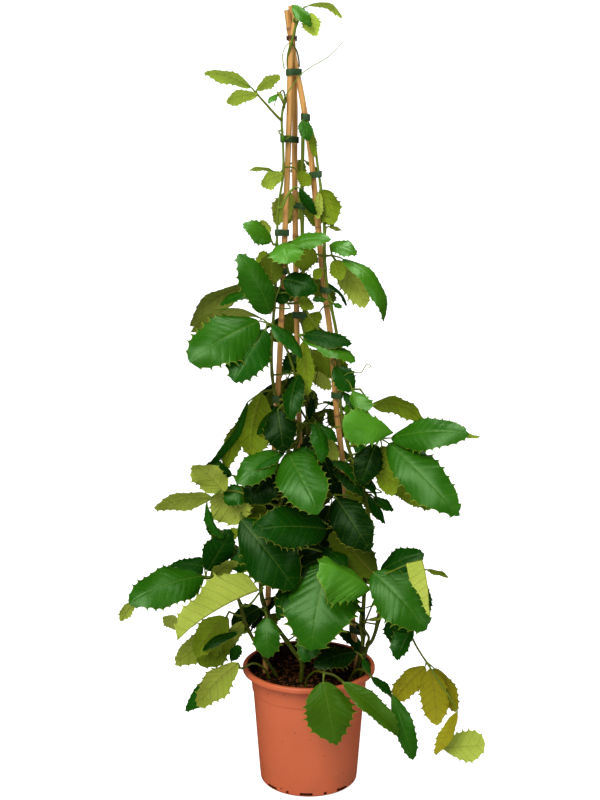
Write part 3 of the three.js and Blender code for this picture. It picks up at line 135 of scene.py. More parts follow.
# %% Table of the measured leaves
# (plant, hub, way points of the petiole, leaflets), and a leaflet is: base, tip, width, roll, bow, fold,
# tone and, where its outline is unusual, the share of its length where it is widest and its tip power
LEAVES = [
  # Tip of the plant
  ["vine_left", [-1.8, 118.8, -2.4], [[-2.3, 117.6, -2.3]], [
    [-2.5, 119.8, -2.7, 0.3, 116.9, -3.2, 2, -25, 0.10, 14, "bright"]]],
  ["vine_left", [-1.3, 119, -1.9], [], [
    [-0.2, 118.7, -1.8, 0.9, 115.4, -1.7, 2.7, 165, 0.08, 14, "lime"],
    [-0.6, 119.6, -1.7, 4.8, 118.1, -0.8, 2.4, -112, 0.22, 14, "lime"]]],
  ["vine_left", [-7.8, 107.3, -1.9], [[-4.3, 103.6, -1.6]], [
    [-8.6, 108.2, -2, -15.5, 110.3, -3.2, 3.2, 128, 0.10, 14, "lime"],
    [-7.6, 107.1, -2.1, -12.3, 106.3, -3.2, 3, 132, 0.10, 14, "lime"],
    [-7.8, 107.8, -1.8, -4.3, 109.8, -1.2, 2.6, -134, 0.08, 14, "lime"]]],
  ["vine_right", [-0.5, 103.6, -1.3], [], [
    [-1, 103.5, -1.5, -0.1, 100.5, -2.4, 2.2, -15, 0.08, 14, "fresh"],
    [0.4, 101.6, -1.2, 0.7, 98.1, -1.4, 1.6, 140, 0.08, 18, "olive"]]],
  # Young leaves of the upper part
  ["vine_left", [-4.6, 95.8, -1.7], [], [
    [-5.2, 96, -1.7, -8.9, 96.4, -2.4, 1.8, 110, 0.10, 12, "lime"],
    [-3.9, 95.6, -1.8, -7.3, 94.2, -2.8, 3.2, 138, 0.08, 14, "lime"]]],
  ["vine_left", [-2.2, 93.7, -2.1], [[-4.2, 90.6, -1.9], [-3.2, 92.6, -2]], [
    [-2.9, 93.1, 1.5, -5.2, 88.2, 1, 3.8, 150, 0.10, 16, "sage"],
    [-1.9, 93.2, 4.4, -1.7, 88.9, 4.4, 2.3, 170, 0.08, 16, "sage"],
    [-1.5, 93.6, -2.1, 1, 89.6, -2.6, 1.9, 30, 0.08, 16, "dark"]]],
  ["vine_right", [1.7, 93.9, -0.7], [], [
    [1.7, 93.3, -1.4, 3.8, 88.3, -2, 4.4, -150, 0.14, 16, "olive"],
    [1.5, 93, -1.2, 1.2, 89, -2.2, 1.6, 165, 0.05, 16, "sage"]]],
  ["vine_right", [2.3, 87.6, -0.7], [], [
    [2.9, 87.9, -0.8, 4.9, 87.4, -1.6, 1.3, -120, 0.05, 12, "sage"]]],
  ["vine_left", [-5.4, 85.2, -1.8], [], [
    [-5.7, 85.7, -2.2, -9.9, 88.3, -3.8, 3.6, 35, 0.08, 12, "bright"],
    [-6, 86.6, -1.9, -7.2, 88.9, -1.8, 2, 140, 0.08, 12, "sage"]]],
  ["vine_right", [-3.5, 85.4, -2.4], [], [
    [-3.1, 85.2, -2.7, 3.2, 86.2, -4.6, 3, -36, 0.08, 12, "bright"],
    [-3.8, 85.5, -2.9, -3.4, 82.5, -6.6, 5.2, 0, 0.10, 12, "lime"]]],
  ["vine_right", [1.5, 83.6, -1], [], [
    [1.2, 83.8, -1.4, -2.5, 82.6, -1.8, 4, 148, 0.08, 14, "olive"]]],
  ["vine_left", [-5.5, 76.1, -1.6], [], [
    [-5.9, 74.8, -2.8, -10.4, 83.8, -5, 5, 20, 0.10, 14, "fresh"],
    [-5.9, 78.9, -2.3, -5.6, 84.1, -2.5, 3.8, 168, 0.08, 14, "murky"],
    [-3.8, 80.1, -2.2, 1.2, 78.4, -3.8, 4.2, -20, 0.08, 12, "dark"]]],
  # Right side of the upper part
  ["vine_right", [3.4, 83.6, -1.2], [], [
    [3.1, 85.2, -1.5, 7.2, 83.8, -3, 3.2, -40, 0.12, 12, "bright"],
    [5, 83.1, -1.9, 11.7, 73.9, -3.4, 3.8, -48, 0.20, 14, "bright"],
    [4, 82.9, -1, 8.6, 76, -0.8, 4.4, -164, 0.12, 16, "sage"],
    [3.8, 82.9, -1.5, 4.7, 79.8, -2.4, 2.6, 170, 0.08, 14, "olive"]]],
  ["vine_right", [2.4, 81.6, -1.2], [], [
    [1.9, 81.5, -1.4, 0.6, 80.2, -2, 1.7, 160, 0.05, 14, "olive"]]],
  ["vine_right", [3.2, 76.7, -1.2], [], [
    [2.6, 77, -1.6, 0.5, 76.9, -2.6, 1.2, 40, 0.05, 12, "fresh"],
    [3.7, 76.4, -1.6, 4.9, 75.7, -2.4, 1.1, -40, 0.05, 12, "fresh"]]],
  # Left hub of the middle part
  ["vine_left", [-6.4, 73.4, -2.6], [[-2, 62.6, -2], [-2.8, 67.6, -2.3], [-4.6, 71.6, -2.5]], [
    [-7.6, 73.7, -3, -18.2, 67.7, -9.4, 8, 22, 0.08, 12, "fresh"],
    [-6.6, 72.4, -3.2, -11.5, 64.5, -9, 6.6, 10, 0.08, 14, "mid"],
    [-7, 74, -2.6, -17.9, 72.6, -1.8, 5.6, 108, 0.20, 14, "sage"],
    [-5.6, 73.2, -3, -0.9, 68.2, -4.6, 3.4, -48, 0.10, 22, "mid"]]],
  ["vine_back", [-6.6, 78.4, 1.6], [[-3.2, 76.4, 1.4]], [
    [-8.2, 78.9, 1.5, -18.2, 73.3, 1.5, 5.6, 125, 0.16, 14, "sage"],
    [-7.7, 78.1, 1.2, -13.6, 76.3, -0.2, 3, 60, 0.08, 10, "mid"],
    [-6.8, 79.6, 1.8, -6.9, 84.2, 3.6, 3, 170, 0.08, 14, "olive"]]],
  # Middle leaves before and behind the canes
  ["vine_right", [-1.6, 71.6, -2.2], [[2.6, 70.7, -1.9]], [
    [-0.9, 71.7, -2.4, 6.4, 70.3, -3.6, 3.6, -45, 0.05, 12, "dark"],
    [-0.9, 70.8, -2.5, 7.1, 67.6, -4.4, 4.2, -58, 0.08, 12, "bright"],
    [-0.9, 70.6, -2, -0.2, 62.4, -2.8, 2.8, 168, 0.06, 14, "olive"]]],
  ["vine_back", [0.2, 69.4, 2.2], [], [
    [0.6, 68.9, 1.9, 6.2, 65.2, 2.4, 4.4, -160, 0.08, 14, "olive"]]],
  ["vine_back", [-0.6, 66.2, 2.2], [], [
    [0.2, 65.7, 1.8, 3.4, 63.3, 1.6, 2.6, -150, 0.06, 12, "sage"],
    [-1.4, 65.4, 1.8, -3.9, 62.3, 0.8, 2.4, 30, 0.05, 12, "dark"]]],
  ["vine_left", [-7.2, 62.8, -1.8], [], [
    [-7.2, 62.5, -1.7, -9.1, 52.9, -2.4, 6.2, 152, 0.12, 14, "olive"],
    [-9.4, 61.2, -2.4, -16.9, 50.2, -4.4, 2.6, -58, 0.10, -10, "grey"],
    [-9.2, 59.4, -0.2, -13.3, 50.8, 1, 3.6, 150, 0.08, 14, "olive"]]],
  ["vine_left", [-4, 60.8, -1.9], [], [
    [-4.8, 60, -3.2, -3.9, 53.5, -5.4, 5.2, 5, 0.06, 12, "deep"]]],
  # Front hub of the middle part
  ["vine_left", [-3.4, 53.8, -2.9], [[-2.6, 52.6, -2.2]], [
    [-3.3, 53.4, -3.6, 1.4, 43.8, -11.4, 7.6, -5, 0.06, 14, "fresh"],
    [-4.5, 53.4, -3.4, -11.2, 48.5, -7.4, 4.8, 20, 0.08, 12, "fresh"],
    [-2.5, 53.4, -3.2, 1.4, 52, -4.6, 3.4, -30, 0.08, 12, "mid"]]],
  ["vine_left", [-4.6, 49.6, -2], [], [
    [-5.1, 50.5, -2.6, -9.9, 45.3, -4.8, 6.2, 18, 0.06, 12, "deep"]]],
  ["vine_back", [1, 54, 2.6], [], [
    [1.8, 53.5, 1.8, 4.6, 46.4, 0.6, 4.6, -10, 0.06, 12, "deep"],
    [0.2, 53.2, 2, -1.4, 46, 0.8, 4.2, 10, 0.06, 12, "deep"]]],
  ["vine_left", [-13.6, 47.4, -3.4], [[-7, 45.4, -2], [-10.4, 46.9, -2.9]], [
    [-13.2, 47, -3.6, -17.9, 51.5, -5.4, 5.6, 142, 0.08, 12, "sage"],
    [-15.1, 46.1, -3.7, -24.1, 44.6, -6.2, 4.4, 128, 0.08, 12, "sage"],
    [-15.9, 45.4, -5.2, -13.6, 39.6, -7.4, 2.8, 60, 0.08, -16, "grey"],
    [-13.2, 47.5, -2.2, -11.1, 41.9, -2.2, 7.6, -154, 0.08, 14, "straw"]]],
  ["vine_left", [-11.6, 49.6, -1.6], [[-6.6, 46.6, -1.6], [-9.4, 48.9, -1.6]], [
    [-11.9, 49.7, -1.8, -15.8, 51.5, -2.6, 3.2, 45, 0.08, 12, "dark"],
    [-11, 48, -1.3, -7.3, 42.4, -1.7, 4.2, 162, 0.06, 14, "olive"]]],
  ["vine_left", [-0.6, 57.9, -2], [[-1.4, 57.9, -1.7]], [
    [0, 57.9, -2.2, 4.5, 55.2, -3.6, 2.8, -45, 0.08, 12, "mid"]]],
  # Right hub of the middle part
  ["vine_right", [7.8, 63.2, -2], [], [
    [6.7, 63.2, -2.4, 7.5, 59.2, -4.6, 5, 22, 0.08, 20, "bright", 0.72, 0.5],
    [9.6, 60.9, -1.6, 17.7, 58.3, -2.2, 4.6, -128, 0.20, 14, "olive"]]],
  ["vine_right", [11, 55.5, -3.4], [[7, 54.4, -1.6], [9.2, 55.3, -2.6]], [
    [12.9, 56.5, -4.5, 5.2, 57.6, -8, 5.8, 24, 0.08, 12, "lime", 0.66, 0.5],
    [12.6, 55.6, -3.7, 24.5, 56.5, -9, 5.6, -32, 0.08, 12, "fresh"],
    [12.2, 54.8, -3.9, 23.5, 43.3, -12.6, 6.6, -12, 0.08, 12, "fresh"],
    [11.2, 54.4, -3.2, 12.7, 46.4, -3.8, 4.2, 168, 0.06, 14, "olive"],
    [10.3, 54.6, -3.2, 8, 48.2, -5.2, 4.6, 6, 0.06, 12, "deep"]]],
  ["vine_right", [10.6, 52.2, -0.4], [[8.6, 50.4, -0.4]], [
    [11.4, 51.8, -0.2, 17.4, 44.8, -0.6, 4.2, -160, 0.08, 14, "olive"],
    [11.1, 52, 0.4, 19, 44.5, 1.4, 4.4, -164, 0.08, 14, "olive"]]],
  ["vine_right", [5.6, 51.9, -1.8], [], [
    [5.9, 51.4, -2.1, 10.8, 46.1, -3.4, 3.8, -70, 0.08, 12, "dark"],
    [6.7, 48.8, -1.4, 7.5, 44, -1.2, 3, 168, 0.06, 14, "olive"]]],
  ["vine_right", [9.6, 46.6, -1.6], [], [
    [10, 46.3, -2, 13.2, 44, -3, 2.4, -50, 0.06, 12, "dark"]]],
  # Dark leaves below the middle
  ["vine_right", [3.9, 46.6, -3.2], [[7.6, 46.4, -2]], [
    [4.2, 46.1, -3.8, 9.7, 37.5, -8.6, 6.2, -6, 0.08, 12, "deep"]]],
  ["vine_left", [3.7, 41.4, -4.4], [[-2.6, 43.6, -2.8], [0.8, 43, -3.8]], [
    [2.8, 41.1, -4.9, -8.7, 41.1, -11, 7, 22, 0.08, 12, "dark"]]],
  ["vine_left", [-10.7, 43.4, -3.2], [[-7.4, 41.4, -1.9]], [
    [-10.6, 42.7, -3.7, -2.2, 31.5, -8.6, 8.6, -5, 0.08, 12, "dark"]]],
  ["vine_left", [3.2, 37, -3.8], [[-4.4, 37.6, -2], [-0.4, 38, -3]], [
    [2.4, 36.7, -4.2, -3.6, 32.6, -5.2, 3.8, 30, 0.08, 12, "deep"],
    [2.9, 36.2, -4.6, 0.3, 21.2, -12.2, 11.4, 8, 0.06, 12, "fresh"]]],
  # Large front leaves
  ["shoot_right", [10.7, 32.8, -4.2], [], [
    [10.5, 33.3, -4.8, 3.4, 40.6, -4.8, 5.8, 150, 0.06, 14, "murky"],
    [11.2, 34.3, -5, 18, 37.2, -7, 5, -32, 0.08, 12, "dark"],
    [10.8, 33, -4, 13.8, 29.8, -3.4, 4.6, -160, 0.08, 14, "murky"]]],
  ["shoot_right", [10.6, 33.2, -8.6], [[11, 31.8, -5.6]], [
    [9.8, 31.3, -9.4, 2, 35.9, -12.4, 9, 44, 0.05, 36, "lime", 0.6, 0.55],
    [10.1, 34.1, -9, 18.7, 24.7, -14, 7.6, -12, 0.10, 12, "fresh", 0.5, 0.62],
    [17.7, 36, -13.4, 18.8, 26.6, -17, 5.2, 133, -0.06, -46, "straw", 0.12, 0.85]]],
  ["shoot_right", [18, 34.4, -6], [[14, 33.6, -5.2]], [
    [18.4, 34.5, -6, 22, 33.4, -6.6, 1.9, -115, 0.06, 12, "olive"],
    [17.4, 33.6, -5.8, 19, 27.5, -6.2, 2.2, 20, 0.06, 12, "dark"]]],
  ["shoot_right", [15, 27.4, -4.8], [[12.6, 27.2, -4.4]], [
    [13.3, 26.9, -4.9, 14.3, 21.7, -5.8, 4, 8, 0.06, 12, "dark"],
    [16.5, 25.1, -5.2, 13.9, 19.6, -7.4, 3.8, 30, 0.06, -24, "mid"]]],
  ["shoot_right", [8.2, 20.4, -4.4], [], [
    [7.5, 20.9, -4.9, 0.8, 18.7, -7.6, 4.4, 38, 0.08, 12, "deep"],
    [8.6, 19.8, -4.8, 9.7, 17, -5.8, 1.6, -40, 0.06, 12, "grey"]]],
  ["vine_left", [-6.8, 27.5, -4.4], [[-6.9, 28.2, -3]], [
    [-6.6, 26.7, -5, -6.6, 19.9, -7.4, 4.4, 10, 0.08, 12, "fresh"],
    [-7.8, 28.2, -2.4, -12.4, 25.4, -0.4, 4, 24, 0.06, 12, "deep"]]],
  # Left low crown
  ["shoot_left", [-16.2, 33.2, -5], [], [
    [-16.6, 33.5, -5.4, -28.3, 29.4, -12, 7, 30, 0.08, 12, "fresh"],
    [-16.5, 35.1, -4.2, -22.4, 35.1, -4.8, 3.8, 42, 0.08, 12, "dark", 0.16, 0.9],
    [-16, 34.3, -4.7, -12.2, 40.8, -5.8, 4.6, 10, 0.06, 12, "dark"],
    [-15.4, 33.3, -5.4, -11.3, 36.1, -6.4, 3.4, -128, 0.06, 12, "sage"]]],
  ["shoot_left", [-11.9, 38.6, -3.6], [[-12.2, 34.6, -4]], [
    [-12.6, 39, -3.8, -16, 41.6, -4.4, 2.6, 40, 0.05, 12, "dark"],
    [-11.2, 38.3, -4, -10.5, 33.8, -5.2, 3, 0, 0.06, 12, "mid"]]],
  ["shoot_left", [-7.2, 31.5, -6.6], [[-9.6, 28.6, -5.2]], [
    [-7.9, 31.2, -7.2, -21, 23.1, -15.6, 8.6, 133, 0.06, -46, "straw", 0.25, 0.42]]],
  ["shoot_left", [-12.6, 27.6, -4.4], [[-10.9, 26.9, -4]], [
    [-13.1, 26.7, -5, -18.2, 20.4, -7.2, 5.2, 152, 0.08, 14, "olive"],
    [-12.9, 26.8, -4.8, -15, 20.2, -4.8, 2.4, 160, 0.06, 12, "olive"]]],
  ["shoot_left", [-12.3, 24.4, -3.6], [[-10.2, 24.1, -3.4]], [
    [-12.8, 24.1, -3.8, -17.3, 18.7, -4.8, 5.2, 160, 0.08, 14, "olive"],
    [-13.2, 24.6, -3.2, -21.3, 19, -3.4, 4.6, 158, 0.08, 14, "sage"]]],
  ["shoot_low_left", [-10.9, 18.2, -5.5], [], [
    [-11.3, 19.1, -6.2, -17.9, 12, -9, 5.4, 146, 0.08, 14, "sage"],
    [-11.6, 18.2, -5, -20.1, 10.9, -4.4, 3.4, 24, 0.08, 12, "mid"],
    [-12.4, 19.4, -5.3, -10.9, 21.9, -6, 1.9, -10, 0.06, 12, "dark"]]],
  # Front low leaves over the pot
  ["shoot_front", [2.4, 17, -11.7], [], [
    [2.3, 15.9, -12.4, 4.4, 5.1, -14.2, 7.4, 0, 0.05, 14, "moss", 0.52, 1]]],
  ["shoot_front", [5.3, 16, -12.4], [], [
    [5.5, 15.7, -12.6, 14.5, 7, -14, 3.4, -22, 0.08, -16, "moss"]]],
  # Right low leaves
  ["shoot_low_right", [9.9, 16.8, -9], [], [
    [9.9, 16.7, -9.4, 13.3, 13.8, -10.6, 2, -45, 0.08, 12, "dark"]]],
  ["shoot_low_right", [12.9, 13.7, -9.9], [], [
    [13.3, 13.7, -10.1, 17, 2.4, -12, 3.2, -10, 0.08, 12, "fresh"]]],
  # Yellowish leaf that hangs far right
  ["shoot_right", [18.7, 19.2, -6.4], [[13.2, 27.2, -3.2], [15.4, 25, -3], [17.2, 21.6, -4.6]], [
    [18.5, 18.5, -6.5, 13.3, 12.5, -7.8, 4.2, 150, 0.08, 14, "amber"],
    [19.4, 18.2, -6.7, 20.6, 8.6, -8.6, 4.6, -166, 0.08, 14, "amber"],
    [19.9, 18.2, -6.3, 23.7, 10.9, -7.4, 3.6, -154, 0.08, 14, "amber"],
    [23.8, 10.8, -10.4, 20.5, 3.6, -11.8, 2.4, -150, 0.06, 12, "amber"],
    [21.6, 4.6, -10.2, 28.4, 5.3, -10.6, 4.8, 170, 0.05, 12, "straw", 0.6, 0.5]]],
]

# %% [markdown]
# The far side follows a rule instead: hubs at rising heights round the rear stem, each with three
# leaflets that droop like a hand.

# %% Table of the far side
# (plant, height on the stem, petiole length, azimuth, rise, leaflet length) in centimetres and degrees
BACK_LEAVES = [
  ["vine_back", 31, 9, 58, 18, 12.5],
  ["vine_back", 34, 9, 117, 20, 12.5],
  ["vine_back", 38, 9, 88, 22, 13],
  ["vine_back", 43, 8, 48, 24, 11.5],
  ["vine_back", 46, 8, 113, 24, 12],
  ["vine_back", 50, 8, 86, 26, 12],
  ["vine_back", 55, 7, 58, 28, 10.5],
  ["vine_back", 60, 6.5, 122, 30, 10.5],
  ["vine_back", 65, 6, 78, 30, 10],
  ["vine_back", 71, 5.5, 112, 34, 8.5],
  ["vine_back", 77, 4.5, 66, 35, 7.5],
  ["vine_back", 83, 4, 112, 35, 6.5],
  ["vine_back", 89, 3.5, 72, 35, 5.5],
  ["vine_back", 96, 3, 96, 35, 4.5],
]
HAND_SPREAD, HAND_SHARE, HAND_DROOP, HUB_SPAN = [0, 68, -68], [1, 0.82, 0.82], 40, 8 * MM
print("noted leaves:", len(LEAVES), "and on the far side:", len(BACK_LEAVES))

# %% [markdown]
# ## Helpers for finishes
# Every finish below is a small node tree. A few helpers keep the trees readable: they fill a node's
# sockets, whether with a number or a link, add the nodes that every finish needs, and start a new group.

# %% Node helpers
def fill(node, inputs):
    """Fills a node's sockets, by name or number, with values or with other nodes' outputs."""
    for key, value in inputs.items():
        if isinstance(value, bpy.types.NodeSocket):
            node.id_data.links.new(value, node.inputs[key])
        else:
            node.inputs[key].default_value = value
    return node


def add(tree, kind, inputs=None, **settings):
    """A new node with its settings and its filled sockets."""
    node = tree.nodes.new(kind)
    for name, value in settings.items():
        setattr(node, name, value)
    return fill(node, inputs or {})


def mixed(tree, factor, first, second):
    """Mixes two colours and gives the result's socket."""
    return add(tree, "ShaderNodeMix", {0: factor, 6: first, 7: second}, data_type="RGBA").outputs[2]


def ramp(tree, factor, stops):
    """A colour ramp: stops are (position, colour)."""
    node = add(tree, "ShaderNodeValToRGB", {0: factor})
    elements = node.color_ramp.elements
    while len(elements) < len(stops):
        elements.new(1)
    for element, (position, colour) in zip(elements, stops):
        element.position = position
        element.color = (*colour, 1)
    return node.outputs[0]


def value_of(tree, operation, *terms):
    """A Math node's result."""
    return add(tree, "ShaderNodeMath", dict(enumerate(terms)), operation=operation).outputs[0]


def stepped(tree, value, low, high, out_low=0.0, out_high=1.0):
    """Maps a value from one range to another, held at the ends."""
    return add(tree, "ShaderNodeMapRange", {0: value, 1: low, 2: high, 3: out_low, 4: out_high}).outputs[0]


def object_place(tree):
    """Where a point of the surface lies, in metres."""
    return add(tree, "ShaderNodeTexCoord").outputs["Object"]


def noise_at(tree, place, scale, detail):
    """Soft noise between 0 and 1; a larger scale makes smaller spots."""
    return add(tree, "ShaderNodeTexNoise", {"Vector": place, "Scale": scale, "Detail": detail}).outputs[0]


def bumped(tree, height, strength, distance):
    """The surface direction of a fine relief, distance metres high."""
    inputs = {"Height": height, "Strength": strength, "Distance": distance}
    return add(tree, "ShaderNodeBump", inputs).outputs[0]


def new_material(name):
    """An empty material with a Principled shader: (material, node tree, shader)."""
    material = bpy.data.materials.new(name)
    material.use_nodes = True
    return material, material.node_tree, material.node_tree.nodes["Principled BSDF"]


def new_group(name, kind, inputs, outputs):
    """An empty node group with its sockets, each given as name: kind of value."""
    group = bpy.data.node_groups.new(name, kind)
    for direction, sockets in (("INPUT", inputs), ("OUTPUT", outputs)):
        for socket, value_kind in sockets.items():
            group.interface.new_socket(socket, in_out=direction, socket_type="NodeSocket" + value_kind)
    return group


# %% [markdown]
# Nothing that grows or is moulded is one flat colour. The mottle group varies any colour it is given, at
# the scale of the piece, and every finish here uses it. As a group it is built once.

# %% Mottle group
mottle = new_group("mottle", "ShaderNodeTree", {"Color": "Color", "Scale": "Float", "Amount": "Float"},
                   {"Color": "Color", "Noise": "Float"})
given = add(mottle, "NodeGroupInput").outputs
cloud = noise_at(mottle, object_place(mottle), given["Scale"], 5.0)
swing = value_of(mottle, "MULTIPLY", value_of(mottle, "SUBTRACT", cloud, 0.5), given["Amount"])
shade = value_of(mottle, "MULTIPLY_ADD", swing, 4.0, 1.0)
varied = add(mottle, "ShaderNodeHueSaturation", {"Value": shade, "Color": given["Color"]}).outputs[0]
add(mottle, "NodeGroupOutput", {"Color": varied, "Noise": cloud})


def mottled(tree, colour, scale, amount):
    """Places the mottle group: (colour socket, noise socket)."""
    inputs = {"Color": colour, "Scale": scale, "Amount": amount}
    return add(tree, "ShaderNodeGroup", inputs, node_tree=mottle).outputs


print("groups:", [g.name for g in bpy.data.node_groups])

# %% [markdown]
# ## The pot
# A thin injection-moulded pot: a tapering wall, a small step where the collar begins, a rolled lip, and
# drain slots round the foot. A lathe profile gives all but the slots. The profile could be revolved with a
# Screw modifier, but plain rings of points are as short and give exact control of the rounding. The slots
# are cut with one Boolean.

# %% Pot sizes
POT_HEIGHT = 190 * MM
RIM_RADIUS = 105 * MM
COLLAR_RADIUS = 92.4 * MM
STEP_HEIGHT = 150 * MM
STEP_RADIUS = 88.6 * MM
STEP_DEPTH = 1.4 * MM
FOOT_RADIUS = 77.6 * MM
FOOT_ROUND = 5 * MM
WALL = 2 * MM
FLOOR = 3 * MM
LIP_FOOT = POT_HEIGHT - 8.5 * MM
LIP_ROUND, LIP_EDGE, LIP_FILLET = 3 * MM, 2 * MM, 2.5 * MM
print("pot:", 2 * RIM_RADIUS, "m across the rim,", POT_HEIGHT, "m tall")

# %% Lathe helper
def mesh_object(name, points, faces, materials=()):
    """A new object with its mesh at the origin."""
    mesh = bpy.data.meshes.new(name)
    mesh.from_pydata(points, [], faces)
    for material in materials:
        mesh.materials.append(material)
    piece = bpy.data.objects.new(name, mesh)
    bpy.context.collection.objects.link(piece)
    return piece


def lathe(name, profile, sides, wobble=None):
    """Revolves (radius, height) pairs; the first and last pair lie on the axis."""
    points = [(0, 0, profile[0][1])]
    for radius, height in profile[1:-1]:
        for i in range(sides):
            turn = 2 * math.pi * i / sides
            point = Vector((radius * math.cos(turn), radius * math.sin(turn), height))
            points.append(wobble(point) if wobble else point)
    points.append((0, 0, profile[-1][1]))
    rings = len(profile) - 2

    def ring(k, i):
        """Number of point i of ring k."""
        return 1 + k * sides + i % sides

    faces = [(0, ring(0, i + 1), ring(0, i)) for i in range(sides)]
    for k in range(rings - 1):
        faces += [(ring(k, i), ring(k, i + 1), ring(k + 1, i + 1), ring(k + 1, i)) for i in range(sides)]
    faces += [(len(points) - 1, ring(rings - 1, i), ring(rings - 1, i + 1)) for i in range(sides)]
    return mesh_object(name, points, faces)


def arc(centre, radii, start, end, count):
    """Points of an elliptic arc in the profile's plane, angles in degrees."""
    turns = [math.radians(start + (end - start) * i / count) for i in range(count + 1)]
    return [(centre[0] + radii[0] * math.cos(a), centre[1] + radii[1] * math.sin(a)) for a in turns]


# %% Pot body
def wall_radius(height):
    """Outer radius of the tapering wall below the step."""
    share = (height - FOOT_ROUND) / (STEP_HEIGHT - FOOT_ROUND)
    return FOOT_RADIUS + share * (STEP_RADIUS - FOOT_RADIUS)


def collar_radius(height):
    """Outer radius of the collar, between the step and the lip."""
    start = STEP_RADIUS + STEP_DEPTH
    return start + (height - STEP_HEIGHT) / (LIP_FOOT - STEP_HEIGHT) * (COLLAR_RADIUS - start)


POT_SIDES, FOOT_RECESS = 144, 2 * MM
pot_profile = [(0, FOOT_RECESS), (FOOT_RADIUS - 14 * MM, FOOT_RECESS), (FOOT_RADIUS - 12 * MM, 0)]
pot_profile += arc((FOOT_RADIUS - FOOT_ROUND, FOOT_ROUND), (FOOT_ROUND, FOOT_ROUND), -90, 0, 6)
pot_profile += [(wall_radius(h * MM), h * MM) for h in (30, 60, 90, 120, 146)]
pot_profile += [(STEP_RADIUS, STEP_HEIGHT), (STEP_RADIUS + 0.5 * MM, STEP_HEIGHT + 0.5 * MM),
                (collar_radius(STEP_HEIGHT + 1.5 * MM), STEP_HEIGHT + 1.5 * MM),
                (collar_radius(165 * MM), 165 * MM), (COLLAR_RADIUS, LIP_FOOT - LIP_EDGE)]
pot_profile += arc((COLLAR_RADIUS + LIP_FILLET, LIP_FOOT - LIP_EDGE), (LIP_FILLET, LIP_EDGE), 180, 90, 3)
pot_profile += arc((RIM_RADIUS - LIP_EDGE, LIP_FOOT + LIP_EDGE), (LIP_EDGE, LIP_EDGE), -90, 0, 4)
pot_profile += arc((RIM_RADIUS - LIP_ROUND, POT_HEIGHT - LIP_ROUND), (LIP_ROUND, LIP_ROUND), 0, 90, 5)
pot_profile += [(RIM_RADIUS - 6 * MM, POT_HEIGHT - 0.1 * MM),
                (COLLAR_RADIUS + 1.5 * MM, POT_HEIGHT - 1.4 * MM),
                (COLLAR_RADIUS - 0.6 * MM, POT_HEIGHT - 4.5 * MM), (COLLAR_RADIUS - WALL, LIP_FOOT - 4 * MM),
                (collar_radius(STEP_HEIGHT) - WALL, STEP_HEIGHT + 2 * MM),
                (STEP_RADIUS - WALL, STEP_HEIGHT), (FOOT_RADIUS - WALL, FOOT_ROUND + 2 * MM),
                (FOOT_RADIUS - FOOT_ROUND, FLOOR), (0, FLOOR)]
pot = lathe("nursery_pot", pot_profile, POT_SIDES)
print("pot:", len(pot.data.polygons), "faces before the slots")

# %% Drain slots
# Long slots and small square holes take turns round the foot
SLOT_COUNT = 8
LONG_SLOT, SQUARE_SLOT, SLOT_HEIGHT, CUTTER_REACH = 20 * MM, 4.5 * MM, 4.5 * MM, 6 * MM
FIRST_SLOT = -93.3
BOX_CORNERS = [(-1, -1), (1, -1), (1, 1), (-1, 1)]
BOX_FACES = [(3, 2, 1, 0), (4, 5, 6, 7), (0, 1, 5, 4), (1, 2, 6, 5), (2, 3, 7, 6), (3, 0, 4, 7)]
cutter_points, cutter_faces = [], []
for number in range(2 * SLOT_COUNT):
    azimuth = FIRST_SLOT + 180 * number / SLOT_COUNT
    half = (LONG_SLOT if number % 2 == 0 else SQUARE_SLOT) / 2
    out, across = heading(azimuth, 0), heading(azimuth + 90, 0)
    cutter_faces += [[len(cutter_points) + i for i in face] for face in BOX_FACES]
    cutter_points += [out * (FOOT_RADIUS + a * CUTTER_REACH) + across * (b * half) + Vector((0, 0, z))
                      for z in (FLOOR, FLOOR + SLOT_HEIGHT) for a, b in BOX_CORNERS]
cutter = mesh_object("slot_cutter", cutter_points, cutter_faces)
slots = pot.modifiers.new("slots", "BOOLEAN")
slots.operation = "DIFFERENCE"
slots.solver = "EXACT"
slots.object = cutter


def settled(piece):
    """Applies the piece's modifiers: its evaluated shape becomes its plain mesh, smoothly shaded."""
    shape = bpy.data.meshes.new_from_object(piece.evaluated_get(bpy.context.evaluated_depsgraph_get()))
    piece.modifiers.clear()
    piece.data = shape
    shape.shade_smooth()
    return piece


settled(pot)
bpy.data.objects.remove(cutter)
pot.data.set_sharp_from_angle(angle=math.radians(38))
print("pot:", len(pot.data.polygons), "faces with the slots")

# %% [markdown]
# The plastic is satin, scuffed in fine slanting lines where pots have rubbed together, a little paler
# where it is worn, and splashed with dried soil near the foot; below the rim its inside is darkened by soil
# stain and painted shade. All of it comes from noise read in object space, so no seam shows.

# %% Pot finish
SCRATCH_TURN, SCRATCH_STRETCH = (0.5, 0.3, 0.2), (40, 40, 420)
SPLASH_HEIGHT = 0.07
INNER_STAIN_AND_SHADE_RADIUS, CLEAN_LIT_RIM_RADIUS = 0.0985, 0.1025
TERRACOTTA, WORN, DUST = (0.62, 0.128, 0.042, 1), (0.58, 0.21, 0.12, 1), (0.30, 0.10, 0.05, 1)
# The second colour is nearly black: a soil stain and painted shade inside the pot.
SOIL_SPOT, WET_STAIN_AND_SHADE = (0.05, 0.02, 0.01, 1), (0.010, 0.004, 0.002, 1)
terracotta, tree, shader = new_material("terracotta_plastic")
place = object_place(tree)
clay, cloud = mottled(tree, TERRACOTTA, 14.0, 0.055)
slanted = add(tree, "ShaderNodeMapping",
              {"Vector": place, "Rotation": SCRATCH_TURN, "Scale": SCRATCH_STRETCH}).outputs[0]
scratches = noise_at(tree, slanted, 1.0, 3.0)
scuff = stepped(tree, scratches, 0.62, 0.72)
worn = mixed(tree, value_of(tree, "MULTIPLY", scuff, 0.22), clay, WORN)
height = add(tree, "ShaderNodeSeparateXYZ", {0: place}).outputs[2]
